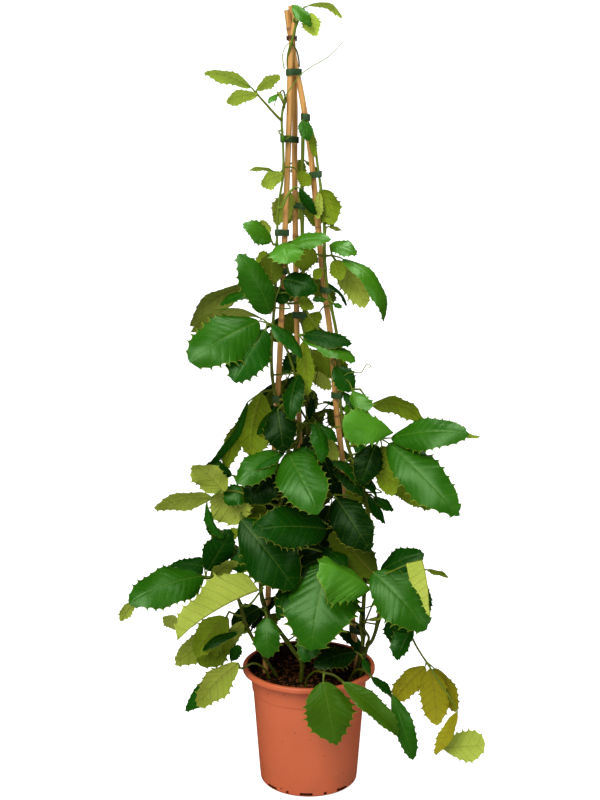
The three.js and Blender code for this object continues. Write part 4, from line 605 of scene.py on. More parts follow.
low = stepped(tree, height, 0.0, SPLASH_HEIGHT, 1.0, 0.0)
grit = noise_at(tree, place, 160.0, 6.0)
spots = stepped(tree, value_of(tree, "MULTIPLY_ADD", low, 0.05, grit), 0.72, 0.75)
streaks = stepped(tree, noise_at(tree, place, 22.0, 4.0), 0.5, 0.7)
film = value_of(tree, "MULTIPLY", streaks, value_of(tree, "MULTIPLY", low, 0.3))
dirty = mixed(tree, spots, mixed(tree, film, worn, DUST), SOIL_SPOT)

# %% [markdown]
# The wall's inside is painted nearly black, partly a stain of wet soil and partly painted shade of the pot's
# hollow, and its sheen is turned down. Inside is where the surface faces the axis, below the rolled rim.
# The way from the axis, flattened, gives both: its product with the surface direction tells which way the
# wall faces, and its length is the distance.

# %% Stain and painted shade inside the pot
way_out = add(tree, "ShaderNodeVectorMath", {0: place, 1: (1, 1, 0)}, operation="MULTIPLY").outputs[0]
faces_to = add(tree, "ShaderNodeNewGeometry").outputs["Normal"]
facing_out = add(tree, "ShaderNodeVectorMath", {0: faces_to, 1: way_out},
                 operation="DOT_PRODUCT").outputs["Value"]
from_axis = add(tree, "ShaderNodeVectorMath", {0: way_out}, operation="LENGTH").outputs["Value"]
ragged = value_of(tree, "MULTIPLY_ADD", grit, 0.004, from_axis)
# Where the wall faces the axis below the rim: soil stain and painted shade, with the sheen turned down.
inner = value_of(tree, "MULTIPLY", stepped(tree, facing_out, -0.01, 0.02, 1.0, 0.0),
                 stepped(tree, ragged, INNER_STAIN_AND_SHADE_RADIUS, CLEAN_LIT_RIM_RADIUS, 1.0, 0.0))
fill(shader, {
    "Base Color": mixed(tree, inner, dirty, WET_STAIN_AND_SHADE),
    "Roughness": stepped(tree, cloud, 0.3, 0.7, 0.40, 0.52),
    "Specular IOR Level": stepped(tree, inner, 0.0, 1.0, 0.5, 0.05),
    "Normal": bumped(tree, scratches, 0.12, 0.0004)})
pot.data.materials.clear()
pot.data.materials.append(terracotta)
print("pot finish:", len(tree.nodes), "nodes")

# %% [markdown]
# ## The soil
# Moist peat fills the pot to two centimetres below the rim. One closed body carries the uneven surface,
# heaped beside the left cane. It's the same lathe as the pot's, with noise that lifts and dips the top.

# %% Soil body
SOIL_LEVEL, SOIL_CLEARANCE, SOIL_SIDES, SOIL_RINGS = 171 * MM, 0.5 * MM, 96, 26
HEAP_HEIGHT, HEAP_PLACE, HEAP_SPREAD = 13 * MM, Vector((-0.060, -0.066)), 42 * MM


def hump(distance, reach):
    """1 at no distance, fading smoothly to 0 beyond the reach."""
    return math.exp(-(distance / reach) ** 2)


def rough_top(point):
    """Lifts and dips the top of the soil; the wall and floor stay true."""
    if point.z < SOIL_LEVEL - 6 * MM:
        return point
    coarse = noise.noise(point * 38) * 3.2 * MM
    coarse += HEAP_HEIGHT * hump((point.xy - HEAP_PLACE).length, HEAP_SPREAD)
    fine = noise.noise(point * 150 + Vector((7, 1, 3))) * 1.3 * MM
    return point + Vector((0, 0, coarse + fine))


def inner_radius(height):
    """Radius of the soil inside the wall."""
    return (wall_radius(height) if height < STEP_HEIGHT else collar_radius(height)) - WALL - SOIL_CLEARANCE


soil_rim = inner_radius(SOIL_LEVEL)
soil_profile = [(0, FLOOR + 0.5 * MM), (FOOT_RADIUS - FOOT_ROUND - 1 * MM, FLOOR + 0.5 * MM),
                (inner_radius(FOOT_ROUND) - 1 * MM, FOOT_ROUND + 3 * MM),
                (inner_radius(STEP_HEIGHT - 2 * MM), STEP_HEIGHT - 2 * MM),
                (soil_rim - 1 * MM, SOIL_LEVEL - 5 * MM)]
soil_profile += [(soil_rim * (1 - i / SOIL_RINGS), SOIL_LEVEL) for i in range(SOIL_RINGS)]
soil_profile += [(0, SOIL_LEVEL)]
soil = lathe("potting_soil", soil_profile, SOIL_SIDES, rough_top)
soil.data.shade_smooth()
print("soil:", len(soil.data.polygons), "faces")

# %% [markdown]
# The crumbs are the first job for Geometry Nodes: points scattered on the top faces, each with a lumpy
# grain turned and scaled at random, then made real. A particle system could do it too, but a group with
# named inputs can be used again for any loose ground.

# %% Crumb scatter as Geometry Nodes
FULL_TURN = 6.28
crumbs = new_group("soil crumbs", "GeometryNodeTree", {
    "Geometry": "Geometry", "Density": "Float", "Smallest": "Float", "Largest": "Float", "Above": "Float",
    "Seed": "Int", "Material": "Material"}, {"Geometry": "Geometry"})
given = add(crumbs, "NodeGroupInput").outputs
position = add(crumbs, "GeometryNodeInputPosition").outputs[0]
height = add(crumbs, "ShaderNodeSeparateXYZ", {0: position}).outputs[2]
on_top = add(crumbs, "FunctionNodeCompare", {0: height, 1: given["Above"]},
             operation="GREATER_THAN").outputs[0]
points = add(crumbs, "GeometryNodeDistributePointsOnFaces", {
    "Mesh": given["Geometry"], "Selection": on_top, "Density": given["Density"], "Seed": given["Seed"]})
ball = add(crumbs, "GeometryNodeMeshIcoSphere", {"Radius": 1.0, "Subdivisions": 2}).outputs[0]
lump = add(crumbs, "ShaderNodeTexNoise", {"Scale": 1.1, "Detail": 2.0}).outputs[1]
push = add(crumbs, "ShaderNodeVectorMath", {0: lump, 1: (0.5, 0.5, 0.5)}, operation="SUBTRACT").outputs[0]
push = add(crumbs, "ShaderNodeVectorMath", {0: push, 1: (2.2, 2.2, 2.2)}, operation="MULTIPLY").outputs[0]
grain = add(crumbs, "GeometryNodeSetPosition", {"Geometry": ball, "Offset": push}).outputs[0]
spin = add(crumbs, "FunctionNodeRandomValue", {0: (0, 0, 0), 1: (FULL_TURN,) * 3, "Seed": given["Seed"]},
           data_type="FLOAT_VECTOR").outputs[0]
size = add(crumbs, "FunctionNodeRandomValue",
           {2: given["Smallest"], 3: given["Largest"], "Seed": given["Seed"]}, data_type="FLOAT").outputs[1]
spread = add(crumbs, "GeometryNodeInstanceOnPoints",
             {"Points": points.outputs["Points"], "Instance": grain, "Rotation": spin, "Scale": size})


def end_group(group, shape):
    """Ends a group: its instances become real faces, and they take the given material."""
    real = add(group, "GeometryNodeRealizeInstances", {"Geometry": shape}).outputs[0]
    material = group.nodes["Group Input"].outputs["Material"]
    painted = add(group, "GeometryNodeSetMaterial", {"Geometry": real, "Material": material}).outputs[0]
    add(group, "NodeGroupOutput", {"Geometry": painted})


def grown(name, source, group, inputs):
    """Runs a Geometry Nodes group on a copy of source's mesh and keeps the result as a plain mesh."""
    piece = bpy.data.objects.new(name, source.data.copy())
    bpy.context.collection.objects.link(piece)
    modifier = piece.modifiers.new("grow", "NODES")
    modifier.node_group = group
    sockets = {s.name: s.identifier for s in group.interface.items_tree if s.in_out == "INPUT"}
    for socket, value in inputs.items():
        modifier[sockets[socket]] = value
    return settled(piece)


end_group(crumbs, spread.outputs[0])
print("crumb scatter:", len(crumbs.nodes), "nodes")

# %% [markdown]
# Peat is nearly black when moist, with redder bits of bark and root in it. A fine cell pattern picks
# which bits are bark, so a whole crumb can be red.

# %% Soil finish
MOIST_PEAT, BARK = (0.010, 0.0045, 0.0015, 1), (0.16, 0.052, 0.016, 1)
peat, tree, shader = new_material("potting_soil")
brown, cloud = mottled(tree, MOIST_PEAT, 60.0, 0.22)
place = object_place(tree)
bits = add(tree, "ShaderNodeTexVoronoi", {"Vector": place, "Scale": 210.0}).outputs["Color"]
bark = stepped(tree, add(tree, "ShaderNodeSeparateColor", {0: bits}).outputs[0], 0.68, 0.97)
fill(shader, {
    "Base Color": mixed(tree, bark, brown, BARK),
    "Roughness": 0.92,
    "Specular IOR Level": 0.05,
    "Normal": bumped(tree, noise_at(tree, place, 700.0, 4.0), 0.8, 0.001)})
soil.data.materials.append(peat)
soil_crumbs = grown("soil_crumbs", soil, crumbs, {
    "Density": 34000.0, "Smallest": 0.7 * MM, "Largest": 2.8 * MM, "Above": SOIL_LEVEL - 4 * MM, "Seed": 3,
    "Material": peat})
print("soil crumbs:", len(soil_crumbs.data.polygons), "faces")

# %% [markdown]
# ## Rods: canes, stems, petioles, tendrils
# Everything long and round here is the same idea, a line with a thickness that changes along it. So one
# Geometry Nodes group sweeps them all. It reads each point's own thickness from an attribute, which lets a
# cane swell at its joints and a stem taper.

# %% Sweep group
sweep = new_group("swept rods", "GeometryNodeTree",
                  {"Geometry": "Geometry", "Sides": "Int", "Material": "Material"}, {"Geometry": "Geometry"})
given = add(sweep, "NodeGroupInput").outputs
lines = add(sweep, "GeometryNodeMeshToCurve", {"Mesh": given["Geometry"]}).outputs[0]
circle = add(sweep, "GeometryNodeCurvePrimitiveCircle",
             {"Resolution": given["Sides"], "Radius": 1.0}).outputs[0]
thickness = add(sweep, "GeometryNodeInputNamedAttribute", {"Name": "thickness"}).outputs[0]
swept = add(sweep, "GeometryNodeCurveToMesh",
            {"Curve": lines, "Profile Curve": circle, "Scale": thickness, "Fill Caps": True}).outputs[0]
end_group(sweep, swept)


def rods(name, lines, sides, material):
    """Sweeps lines of (points, thicknesses, shades) into one plain mesh."""
    points, edges, thickness, shades = [], [], [], []
    for path, widths, tints in lines:
        edges += [(len(points) + i, len(points) + i + 1) for i in range(len(path) - 1)]
        points += path
        thickness += widths
        shades += tints
    mesh = bpy.data.meshes.new(name)
    mesh.from_pydata(points, edges, [])
    for attribute, values in (("thickness", thickness), ("shade", shades)):
        mesh.attributes.new(attribute, "FLOAT", "POINT").data.foreach_set("value", values)
    source = bpy.data.objects.new(name + "_lines", mesh)
    piece = grown(name, source, sweep, {"Sides": sides, "Material": material})
    bpy.data.objects.remove(source)
    return piece


print("sweep:", len(sweep.nodes), "nodes")

# %% [markdown]
# Lines are laid with a curve that passes through the noted places and doesn't overshoot where they stand
# unevenly, because its slope at each place weighs near neighbours more. A curve with handles could do the
# same, but every place would then need two more points.

# %% Smooth paths
def smooth_path(places, spacing):
    """Points along a centripetal curve through the places, about spacing apart."""
    ends = [places[0] * 2 - places[1], *places, places[-1] * 2 - places[-2]]
    path = []
    for p0, p1, p2, p3 in zip(ends, ends[1:], ends[2:], ends[3:]):
        d0, d1, d2 = (math.sqrt((b - a).length) for a, b in ((p0, p1), (p1, p2), (p2, p3)))
        t1 = ((p1 - p0) / d0 - (p2 - p0) / (d0 + d1) + (p2 - p1) / d1) * d1
        t2 = ((p2 - p1) / d1 - (p3 - p1) / (d1 + d2) + (p3 - p2) / d2) * d1
        count = max(1, round((p2 - p1).length / spacing))
        for i in range(count):
            t = i / count
            path.append(p1 * (2 * t**3 - 3 * t**2 + 1) + t1 * (t**3 - 2 * t**2 + t)
                        + p2 * (3 * t**2 - 2 * t**3) + t2 * (t**3 - t**2))
    return path + [places[-1].copy()]


def seen_path(places, spacing):
    """A smooth path through places noted as seen."""
    return smooth_path([seen(*place) for place in places], spacing)


# %% [markdown]
# ## The bamboo canes
# A cane is smooth and straw-coloured between its joints. At each joint there is a raised ring with a dark
# groove and a slight kink. The ring is real shape, made by the thickness along the line, and the colour
# reads the same place from the attribute, so groove and stain stay together.

# %% Bamboo finish
STRAW, FIBRE, JOINT = (0.66, 0.36, 0.095, 1), (0.42, 0.185, 0.040, 1), (0.09, 0.035, 0.015, 1)
FIBRE_STRETCH = (420, 420, 9)
bamboo, tree, shader = new_material("bamboo")
along_cane = add(tree, "ShaderNodeMapping", {"Vector": object_place(tree), "Scale": FIBRE_STRETCH}).outputs[0]
fibres = noise_at(tree, along_cane, 1.0, 4.0)
skin, cloud = mottled(tree, STRAW, 9.0, 0.09)
straw = mixed(tree, stepped(tree, fibres, 0.35, 0.7), skin, FIBRE)
joint = add(tree, "ShaderNodeAttribute", attribute_name="shade").outputs["Fac"]
fill(shader, {
    "Base Color": mixed(tree, joint, straw, JOINT),
    "Roughness": stepped(tree, fibres, 0.3, 0.7, 0.38, 0.55),
    "Normal": bumped(tree, fibres, 0.25, 0.0005)})

# %% Canes
CANE_RADIUS, CANE_SPACING, CANE_SIDES = 4.5 * MM, 3 * MM, 20
RING_RISE, RING_REACH, GROOVE_DEPTH, GROOVE_REACH = 0.16, 4 * MM, 0.06, 1.6 * MM
# (distance of the first joint from the foot, distance between joints)
JOINTS = {"cane_left": (0.13, 0.27), "cane_right": (0.22, 0.29), "cane_back": (0.05, 0.25)}
cane_paths, cane_pieces = {}, {}
for name, places in CANES:
    path = cane_paths[name] = seen_path(places, CANE_SPACING)
    first_joint, joint_gap = JOINTS[name]
    widths, stains, travelled = [], [], 0.0
    for i, point in enumerate(path):
        travelled += (point - path[i - 1]).length if i else 0.0
        off = (travelled - first_joint + joint_gap / 2) % joint_gap - joint_gap / 2
        ring = RING_RISE * hump(off, RING_REACH) - GROOVE_DEPTH * hump(off, GROOVE_REACH)
        widths.append(CANE_RADIUS * (1.02 - 0.08 * travelled + ring))
        stains.append(0.8 * hump(off - 1 * MM, 2.2 * MM))
    cane_pieces[name] = rods("bamboo_" + name, [(path, widths, stains)], CANE_SIDES, bamboo)
print("canes:", {name: len(piece.data.polygons) for name, piece in cane_pieces.items()})

# %% [markdown]
# ## Stem paths
# The stems follow their table. Each later path of a plant starts on the nearest point of its earlier ones,
# so a branch leaves the stem instead of starting beside it. Petioles do the same: each begins at the stem
# point nearest to its first place.

# %% Lay the stems
STEM_STUB, STEM_SPACING = 5 * MM, 2.5 * MM
stems = {}


def nearest_on_stem(plant, point):
    """The point of a plant's stems that lies nearest."""
    return min((q for path, _ in stems[plant] for q in path), key=lambda q: (q - point).length)


for plant, radius, places in STEMS:
    points = [seen(*place) for place in places]
    if plant in stems:
        points[0] = nearest_on_stem(plant, points[0])
    stub = points[-1] + (points[-1] - points[-2]).normalized() * STEM_STUB
    stems.setdefault(plant, []).append((smooth_path([*points, stub], STEM_SPACING), radius * MM))
print("stems:", {plant: len(paths) for plant, paths in stems.items()})

# %% [markdown]
# ## One leaflet
# A leaflet is a curved surface, not a flat card. Its rib bows, its halves fold, the blade is quilted
# between the side veins, and each hooked tooth of the edge is the end of one side vein. So the grid of the
# surface follows the veins: its columns run from the rib out to the margin along them. That keeps teeth,
# quilting and colour in line with each other. Displacing a plane instead would need a far denser mesh to
# get the same edge.

# %% Leaf outline
VEIN_LEAN = 0.8
TEETH_START, TEETH_END = 0.24, 0.95
# (share of the way along a tooth, how far out the margin stands there): the last is the hooked point
TOOTH_MARKS = [(0.05, 0.2), (0.25, -0.12), (0.5, -0.15), (0.75, 0.08), (0.9, 0.45), (0.97, 1.0)]
TOOTH_POINT = TOOTH_MARKS[-1][0]


def half_width(u, widest_at, tip_power):
    """Share of the greatest half width at u along the rib; more tip power gives a sharper tip."""
    arch = math.sin(math.pi * u ** (math.log(0.5) / math.log(widest_at)))
    return max(arch, 0) ** (0.55 if u < widest_at else tip_power)


def margin_columns(teeth, rng):
    """Places along the margin from base to tip: (u, how far out a tooth stands, vein number)."""
    columns = [(u, 0.0, -3 + 2 * u / TEETH_START) for u in (0.02, 0.06, 0.11, 0.16, 0.20)]
    pitch = (TEETH_END - TEETH_START) / teeth
    for k in range(teeth):
        depth = rng.uniform(0.6, 1.4)
        columns += [(TEETH_START + (k + f) * pitch, out * depth, k - 1 + f / TOOTH_POINT)
                    for f, out in TOOTH_MARKS]
    return columns + [(0.965, 0.0, teeth - 0.9), (0.985, 0.1, teeth - 0.5)]


# %% [markdown]
# The two faces of the blade are two grids of points that meet at the margin, with one more point at the
# base and one at the tip. This cell only says which points make a face. Both faces are split along the
# same diagonals, so a thin blade never pokes through itself.

# %% Shell of two grids
def stacked(above, below, first, last):
    """Both grids in one list: the upper one, the inner columns of the lower one, then the two ends."""
    return np.concatenate([above.reshape(-1, 3), below[:, 1:-1].reshape(-1, 3), [first], [last]])


def shell_faces(m, n):
    """Two m by n grids in that order: (faces above, faces below, edges of the rim)."""
    upper = np.arange(m * n).reshape(m, n)
    lower = upper.copy()
    lower[:, 1:-1] = m * n + np.arange(m * (n - 2)).reshape(m, n - 2)
    base_end = m * n + m * (n - 2)
    tip_end = base_end + 1
    sheets = []
    for rows in (upper, lower):
        quads = np.stack([rows[:-1, :-1], rows[:-1, 1:], rows[1:, 1:], rows[1:, :-1]], -1).reshape(-1, 4)
        fans = [(base_end, rows[0, j + 1], rows[0, j]) for j in range(n - 1)]
        fans += [(tip_end, rows[-1, j], rows[-1, j + 1]) for j in range(n - 1)]
        sheets.append([*quads.tolist(), *fans])
    sheets[1] = [[face[0], *face[:0:-1]] for face in sheets[1]]
    rim = [(upper[i, j], upper[i + 1, j]) for j in (0, n - 1) for i in range(m - 1)]
    rim += [(end, upper[i, j]) for end, i in ((base_end, 0), (tip_end, m - 1)) for j in (0, n - 1)]
    return *sheets, rim


# %% [markdown]
# The surface is worked out for the whole grid at once. Rows run along the leaf at set shares of the half
# width, closer at the rib and the margin, where the shape turns most. The underside is the same grid moved
# in by the blade's thickness, with the rib standing out below.

# %% Leaf surface
ROW_SHARES = {"fine": [0, 0.05, 0.2, 0.4, 0.6, 0.8, 0.93, 1], "plain": [0, 0.07, 0.35, 0.65, 0.9, 1],
              "small": [0, 0.1, 0.5, 0.85, 1]}
FINE_LENGTH, PLAIN_LENGTH, YOUNG_LENGTH = 90 * MM, 45 * MM, 100 * MM
TOOTH_PITCH, FEWEST_TEETH, MOST_TEETH = 20 * MM, 5, 8
BLADE_THICKNESS, RIB_SINK, RIB_DEPTH = 0.45 * MM, 0.35 * MM, 1.2 * MM
# Shares of the width: how far teeth stand out, how the margin wanders, and three kinds of relief
TOOTH_REACH, YOUNG_TOOTH_REACH, WANDER, WAVE, QUILT, DOME = 0.076, 0.05, 0.055, 0.055, 0.006, 0.030
ON_RIB = 0.01


def leaflet(base, tip, width, normal, arch, fold, tone, rng, outline=()):
    """A blade as a thin closed shell: points, faces above and below, rim, and each point's place and tone."""
    length = (tip - base).length
    along = (tip - base) / length
    side = along.cross(normal).normalized()
    detail = "fine" if length > FINE_LENGTH else "plain" if length > PLAIN_LENGTH else "small"
    teeth = max(FEWEST_TEETH, min(MOST_TEETH, round(length / TOOTH_PITCH) + 2))
    u, out, vein = np.array(margin_columns(teeth, rng)).T
    shares = np.array(ROW_SHARES[detail])
    t = np.concatenate([-shares[:0:-1], shares])
    a = np.abs(t)

    # Along the leaf: each column leans from its place on the rib to its place on the margin
    widest_at, tip_power = outline or (rng.uniform(0.46, 0.57), rng.uniform(0.58, 0.78))
    full = np.array([half_width(x, widest_at, tip_power) for x in u])
    rib_u = np.maximum(u - VEIN_LEAN * full * width / 2 / length, 0.3 * u)
    shift = rng.uniform(-0.3, 0.3) * (TEETH_END - TEETH_START) / teeth * np.where(out > 0, 1, 0)
    margin_u = u[:, None] + np.where(t < 0, shift[:, None], 0)
    place_u = rib_u[:, None] + (margin_u - rib_u[:, None]) * (0.75 * a + 0.25 * a**2)

    # Across it: the outline with its teeth, a little uneven
    reach = TOOTH_REACH + YOUNG_TOOTH_REACH * max(0, 1 - length / YOUNG_LENGTH)
    uneven = np.sign(t) * rng.uniform(-0.08, 0.08)
    phase = rng.uniform(0, FULL_TURN), rng.uniform(0, FULL_TURN)
    wander = np.where(t < 0, phase[0], phase[1]) + place_u * rng.uniform(9, 14)
    uneven = 1 + uneven + WANDER * np.cos(wander) * a
    lateral = (t * full[:, None] / 2 * uneven + np.sign(t) * a**8 * out[:, None] * reach) * width

    # Out of its plane: waves, quilting, domed halves, sunk rib, bow, fold and curled tip
    wave = np.sin(wander) * a**2 * WAVE
    quilt = (0.5 - 0.5 * np.cos(2 * np.pi * vein))[:, None] * (4 * a * (1 - a)) ** 0.7 * QUILT
    dome = 4 * a * (1 - a) * DOME
    lift = (wave + quilt + dome) * full[:, None] * width - (a < ON_RIB) * RIB_SINK
    curl = np.clip((place_u - 0.72) / 0.28, 0, 1) ** 2 * rng.uniform(0.01, 0.07) * length
    fold = math.radians(fold)
    up = arch * length * 4 * place_u * (1 - place_u) - math.sin(fold) * np.abs(lateral) + lift - curl
    twist = math.radians(rng.uniform(-14, 14)) * (place_u - 0.4)
    flat = math.cos(fold) * lateral
    aside = flat * np.cos(twist) - up * np.sin(twist)
    upward = flat * np.sin(twist) + up * np.cos(twist)
    grid = (np.array(base) + place_u[..., None] * length * np.array(along)
            + upward[..., None] * np.array(normal) + aside[..., None] * np.array(side))

    # The underside, moved in along the direction that each point faces
    down_run, cross_run = np.gradient(grid, axis=0), np.gradient(grid, axis=1)
    facing = np.cross(cross_run, down_run)
    facing /= np.linalg.norm(facing, axis=2, keepdims=True) + 1e-12
    facing[facing @ np.array(normal) < 0.3] = normal
    rib = (1 - 0.75 * place_u) * (a < ON_RIB) * min(RIB_DEPTH, 0.009 * length)
    under = grid - facing * (BLADE_THICKNESS * (1 - a**4) + rib)[..., None]
    points = stacked(grid, under, np.array(base), np.array(tip) - curl.max() * np.array(normal))

    shape = place_u.shape
    spot = np.stack([np.broadcast_to(vein[:, None], shape), np.broadcast_to(a, shape), place_u], -1)
    places = stacked(spot, spot, (-3, 0, 0), (teeth, 0, 1))
    tones = np.tile([*TONES[tone], rng.random()], (len(points), 1))
    return points, *shell_faces(*shape), places, tones


# %% [markdown]
# A tone word stands for how light the glossy face is, how light the underside is, and how yellow the leaf
# is. Besides the leaf's own green they paint in light and shade: deep and dark are partly painted shade of
# leaves inside the plant, the dark olive underside tone is painted shade, bright and lime are partly painted
# light and sheen on young leaves, and the paler undersides, straw and amber most, are partly painted light
# coming through them.

# %% Tones
# The darkest tones and the dark olive underside tone are painted shade; the lightest are partly painted
# light.
TONES = {
    "deep": (0.0, 0.19, 0.0), "dark": (0.2, 0.27, 0.0), "mid": (0.42, 0.38, 0.0),
    "fresh": (0.56, 0.46, 0.05), "bright": (0.85, 0.58, 0.1), "lime": (0.95, 1.0, 0.0),
    "moss": (0.5, 0.46, 0.3), "murky": (0.3, 0.09, 0.06), "grey": (0.42, 0.42, 0.0),
    "olive": (0.35, 0.40, 0.06), "sage": (0.5, 0.63, 0.12), "straw": (0.6, 0.68, 0.14),
    "amber": (0.4, 0.38, 1.0)}


def blades_mesh(name, blades, materials):
    """All leaflets of one plant as one object, with the two faces' materials and the attributes."""
    points, faces, sides, places, tones, rims, first = [], [], [], [], [], set(), 0
    for blade_points, above, below, rim, blade_places, blade_tones in blades:
        for side, sheet in enumerate((above, below)):
            faces += [[first + i for i in face] for face in sheet]
            sides += [side] * len(sheet)
        rims |= {tuple(sorted((first + i, first + j))) for i, j in rim}
        points.append(blade_points)
        places.append(blade_places)
        tones.append(blade_tones)
        first += len(blade_points)
    piece = mesh_object(name, np.concatenate(points).tolist(), faces, materials)
    mesh = piece.data
    mesh.polygons.foreach_set("material_index", sides)
    mesh.shade_smooth()
    for attribute, kind, field, values in (("leaf_place", "FLOAT_VECTOR", "vector", places),
                                           ("leaf_tone", "FLOAT_COLOR", "color", tones)):
        mesh.attributes.new(attribute, kind, "POINT").data.foreach_set(field, np.concatenate(values).ravel())
    sharp = mesh.attributes.new("sharp_edge", "BOOLEAN", "EDGE")
    sharp.data.foreach_set("value", [tuple(sorted(edge.vertices)) in rims for edge in mesh.edges])
    return piece


print("tones:", ", ".join(TONES))

# %% [markdown]
# ## Leaf finish
# The pattern of a leaf is the same on every leaf and on both faces, so it's one group. It reads the place
# attribute: the vein number is whole on a side vein, the share is 0 on the rib and 1 on the margin. The
# net of the finest veins is the edge of a cell pattern in object space.

# %% Vein pattern group
PATTERN = ["Side veins", "Rib", "Margin", "Net", "Blotch"]
veins = new_group("leaf veins", "ShaderNodeTree", {}, dict.fromkeys(PATTERN, "Float"))
spot = add(veins, "ShaderNodeAttribute", attribute_name="leaf_place").outputs["Vector"]
vein_number, share, run = add(veins, "ShaderNodeSeparateXYZ", {0: spot}).outputs
whole = value_of(veins, "ROUND", vein_number)
off_vein = value_of(veins, "ABSOLUTE", value_of(veins, "SUBTRACT", vein_number, whole))
line_width = stepped(veins, share, 0.0, 1.0, 0.085, 0.03)
side_lines = stepped(veins, value_of(veins, "DIVIDE", off_vein, line_width), 0.4, 1.0, 1.0, 0.0)
rib_width = stepped(veins, run, 0.0, 1.0, 0.045, 0.03)
rib_line = stepped(veins, value_of(veins, "DIVIDE", share, rib_width), 0.6, 1.0, 1.0, 0.0)
margin_line = stepped(veins, share, 0.965, 0.995)
place = object_place(veins)
cells = add(veins, "ShaderNodeTexVoronoi", {"Vector": place, "Scale": 240.0}, feature="DISTANCE_TO_EDGE")
net_lines = stepped(veins, cells.outputs["Distance"], 0.0, 0.09, 1.0, 0.0)
blotch = noise_at(veins, place, 26.0, 4.0)
add(veins, "NodeGroupOutput", dict(zip(PATTERN, (side_lines, rib_line, margin_line, net_lines, blotch))))


def leaf_colour(tree, face, blotching, greens, layers):
    """Green by the leaflet's tone, under thin layers of (what it follows, strength, colour).

    Face 0 is the upper one and 1 the lower. Gives the colour, the face's tone and the pattern.
    """
    tone = add(tree, "ShaderNodeAttribute", attribute_name="leaf_tone").outputs["Color"]
    *face_tones, yellow = add(tree, "ShaderNodeSeparateColor", {0: tone}).outputs
    group = add(tree, "ShaderNodeGroup", node_tree=veins).outputs
    pattern = {"Yellow": yellow, **{name: group[name] for name in PATTERN}}
    swing = value_of(tree, "SUBTRACT", pattern["Blotch"], 0.5)
    colour = ramp(tree, value_of(tree, "MULTIPLY_ADD", swing, blotching, face_tones[face]), greens)
    for name, strength, over in layers:
        colour = mixed(tree, value_of(tree, "MULTIPLY", pattern[name], strength), colour, over)
    return colour, face_tones[face], pattern


def leaf_relief(tree, pattern, side_veins, net):
    """Height of the veins; less than 0 sinks them."""
    return value_of(tree, "ADD", value_of(tree, "MULTIPLY", pattern["Side veins"], side_veins),
                    value_of(tree, "MULTIPLY", pattern["Net"], net))


print("vein pattern:", len(veins.nodes), "nodes")

# %% [markdown]
# The upper face is glossy and deep green. Its ramp runs from nearly black, painted shade for leaves inside
# the plant, to lime, partly painted light on young leaves. Its veins are sunk and hardly paler, the margin
# is a thin yellowish line, and the sheen is greenish and broken up by soft blotches. Leaves of the darker
# tones get less sheen.

# %% Glossy upper face
leaf_upper, tree, shader = new_material("leaf_upper")
# The low stops are painted shade; the top stop is partly painted light.
UPPER_GREENS = [
    (0.0, (0.001, 0.014, 0.0005)), (0.25, (0.002, 0.040, 0.0005)), (0.5, (0.008, 0.082, 0.001)),
    (0.8, (0.024, 0.135, 0.002)), (1.0, (0.060, 0.215, 0.008))]
UPPER_LAYERS = [
    ("Yellow", 0.5, (0.20, 0.22, 0.004, 1)), ("Side veins", 0.06, (0.16, 0.28, 0.03, 1)),
    ("Net", 0.08, (0.09, 0.2, 0.02, 1)), ("Rib", 0.14, (0.20, 0.30, 0.04, 1)),
    ("Margin", 0.5, (0.34, 0.32, 0.03, 1))]
colour, tone, pattern = leaf_colour(tree, 0, 0.35, UPPER_GREENS, UPPER_LAYERS)
puffed = value_of(tree, "ADD", leaf_relief(tree, pattern, -0.35, -0.35), pattern["Blotch"])
fill(shader, {
    "Base Color": colour,
    "Roughness": stepped(tree, pattern["Blotch"], 0.3, 0.7, 0.26, 0.38),
    "Specular IOR Level": stepped(tree, tone, 0.1, 0.9, 0.12, 0.6),
    "Specular Tint": (0.6, 1.0, 0.45, 1),
    "Normal": bumped(tree, puffed, 0.2, 0.001)})

# %% [markdown]
# The underside is matt and paler, and its veins stand out and turn brown. Its brighter tones are partly
# painted light coming through the leaf. It gets its own material instead of a switch on which way the face
# points, so the two faces keep their finish in any other program.

# %% Matt underside
leaf_lower, tree, shader = new_material("leaf_lower")
# The upper stops are partly painted light shining through the leaf.
LOWER_GREENS = [
    (0.0, (0.035, 0.070, 0.001)), (0.23, (0.085, 0.140, 0.001)), (0.46, (0.195, 0.300, 0.010)),
    (0.77, (0.410, 0.500, 0.080)), (1.0, (0.450, 0.620, 0.060))]
LOWER_LAYERS = [
    ("Yellow", 0.6, (0.34, 0.25, 0.004, 1)), ("Side veins", 0.18, (0.15, 0.10, 0.01, 1)),
    ("Net", 0.18, (0.13, 0.12, 0.02, 1)), ("Rib", 0.45, (0.22, 0.17, 0.03, 1))]
colour, tone, pattern = leaf_colour(tree, 1, 0.3, LOWER_GREENS, LOWER_LAYERS)
fill(shader, {
    "Base Color": colour,
    "Roughness": 0.55,
    "Specular IOR Level": 0.1,
    "Normal": bumped(tree, leaf_relief(tree, pattern, 1.2, 0.5), 0.5, 0.001)})
print("leaf finishes:", leaf_upper.name, leaf_lower.name)

# %% [markdown]
# ## Growing the leaves
# Every measured leaf now gets its petiole, the short stalks of its leaflets, and its blades. The glossy
# face's direction starts from the viewer and is turned about the rib by the noted roll.

# %% Leaf growth
PETIOLE_ROOT, PETIOLE_HUB, STALK_END = 2.1 * MM, 1.4 * MM, 0.9 * MM
SHORTEST_STALK, SHORTEST_PETIOLE, STALK_SPACING, FAR_LEAFLET = 2.5 * MM, 2.6 * MM, 3.5 * MM, 90 * MM
rng = random.Random(11)
blades = {plant: [] for plant in stems}
stalks = {plant: [] for plant in stems}


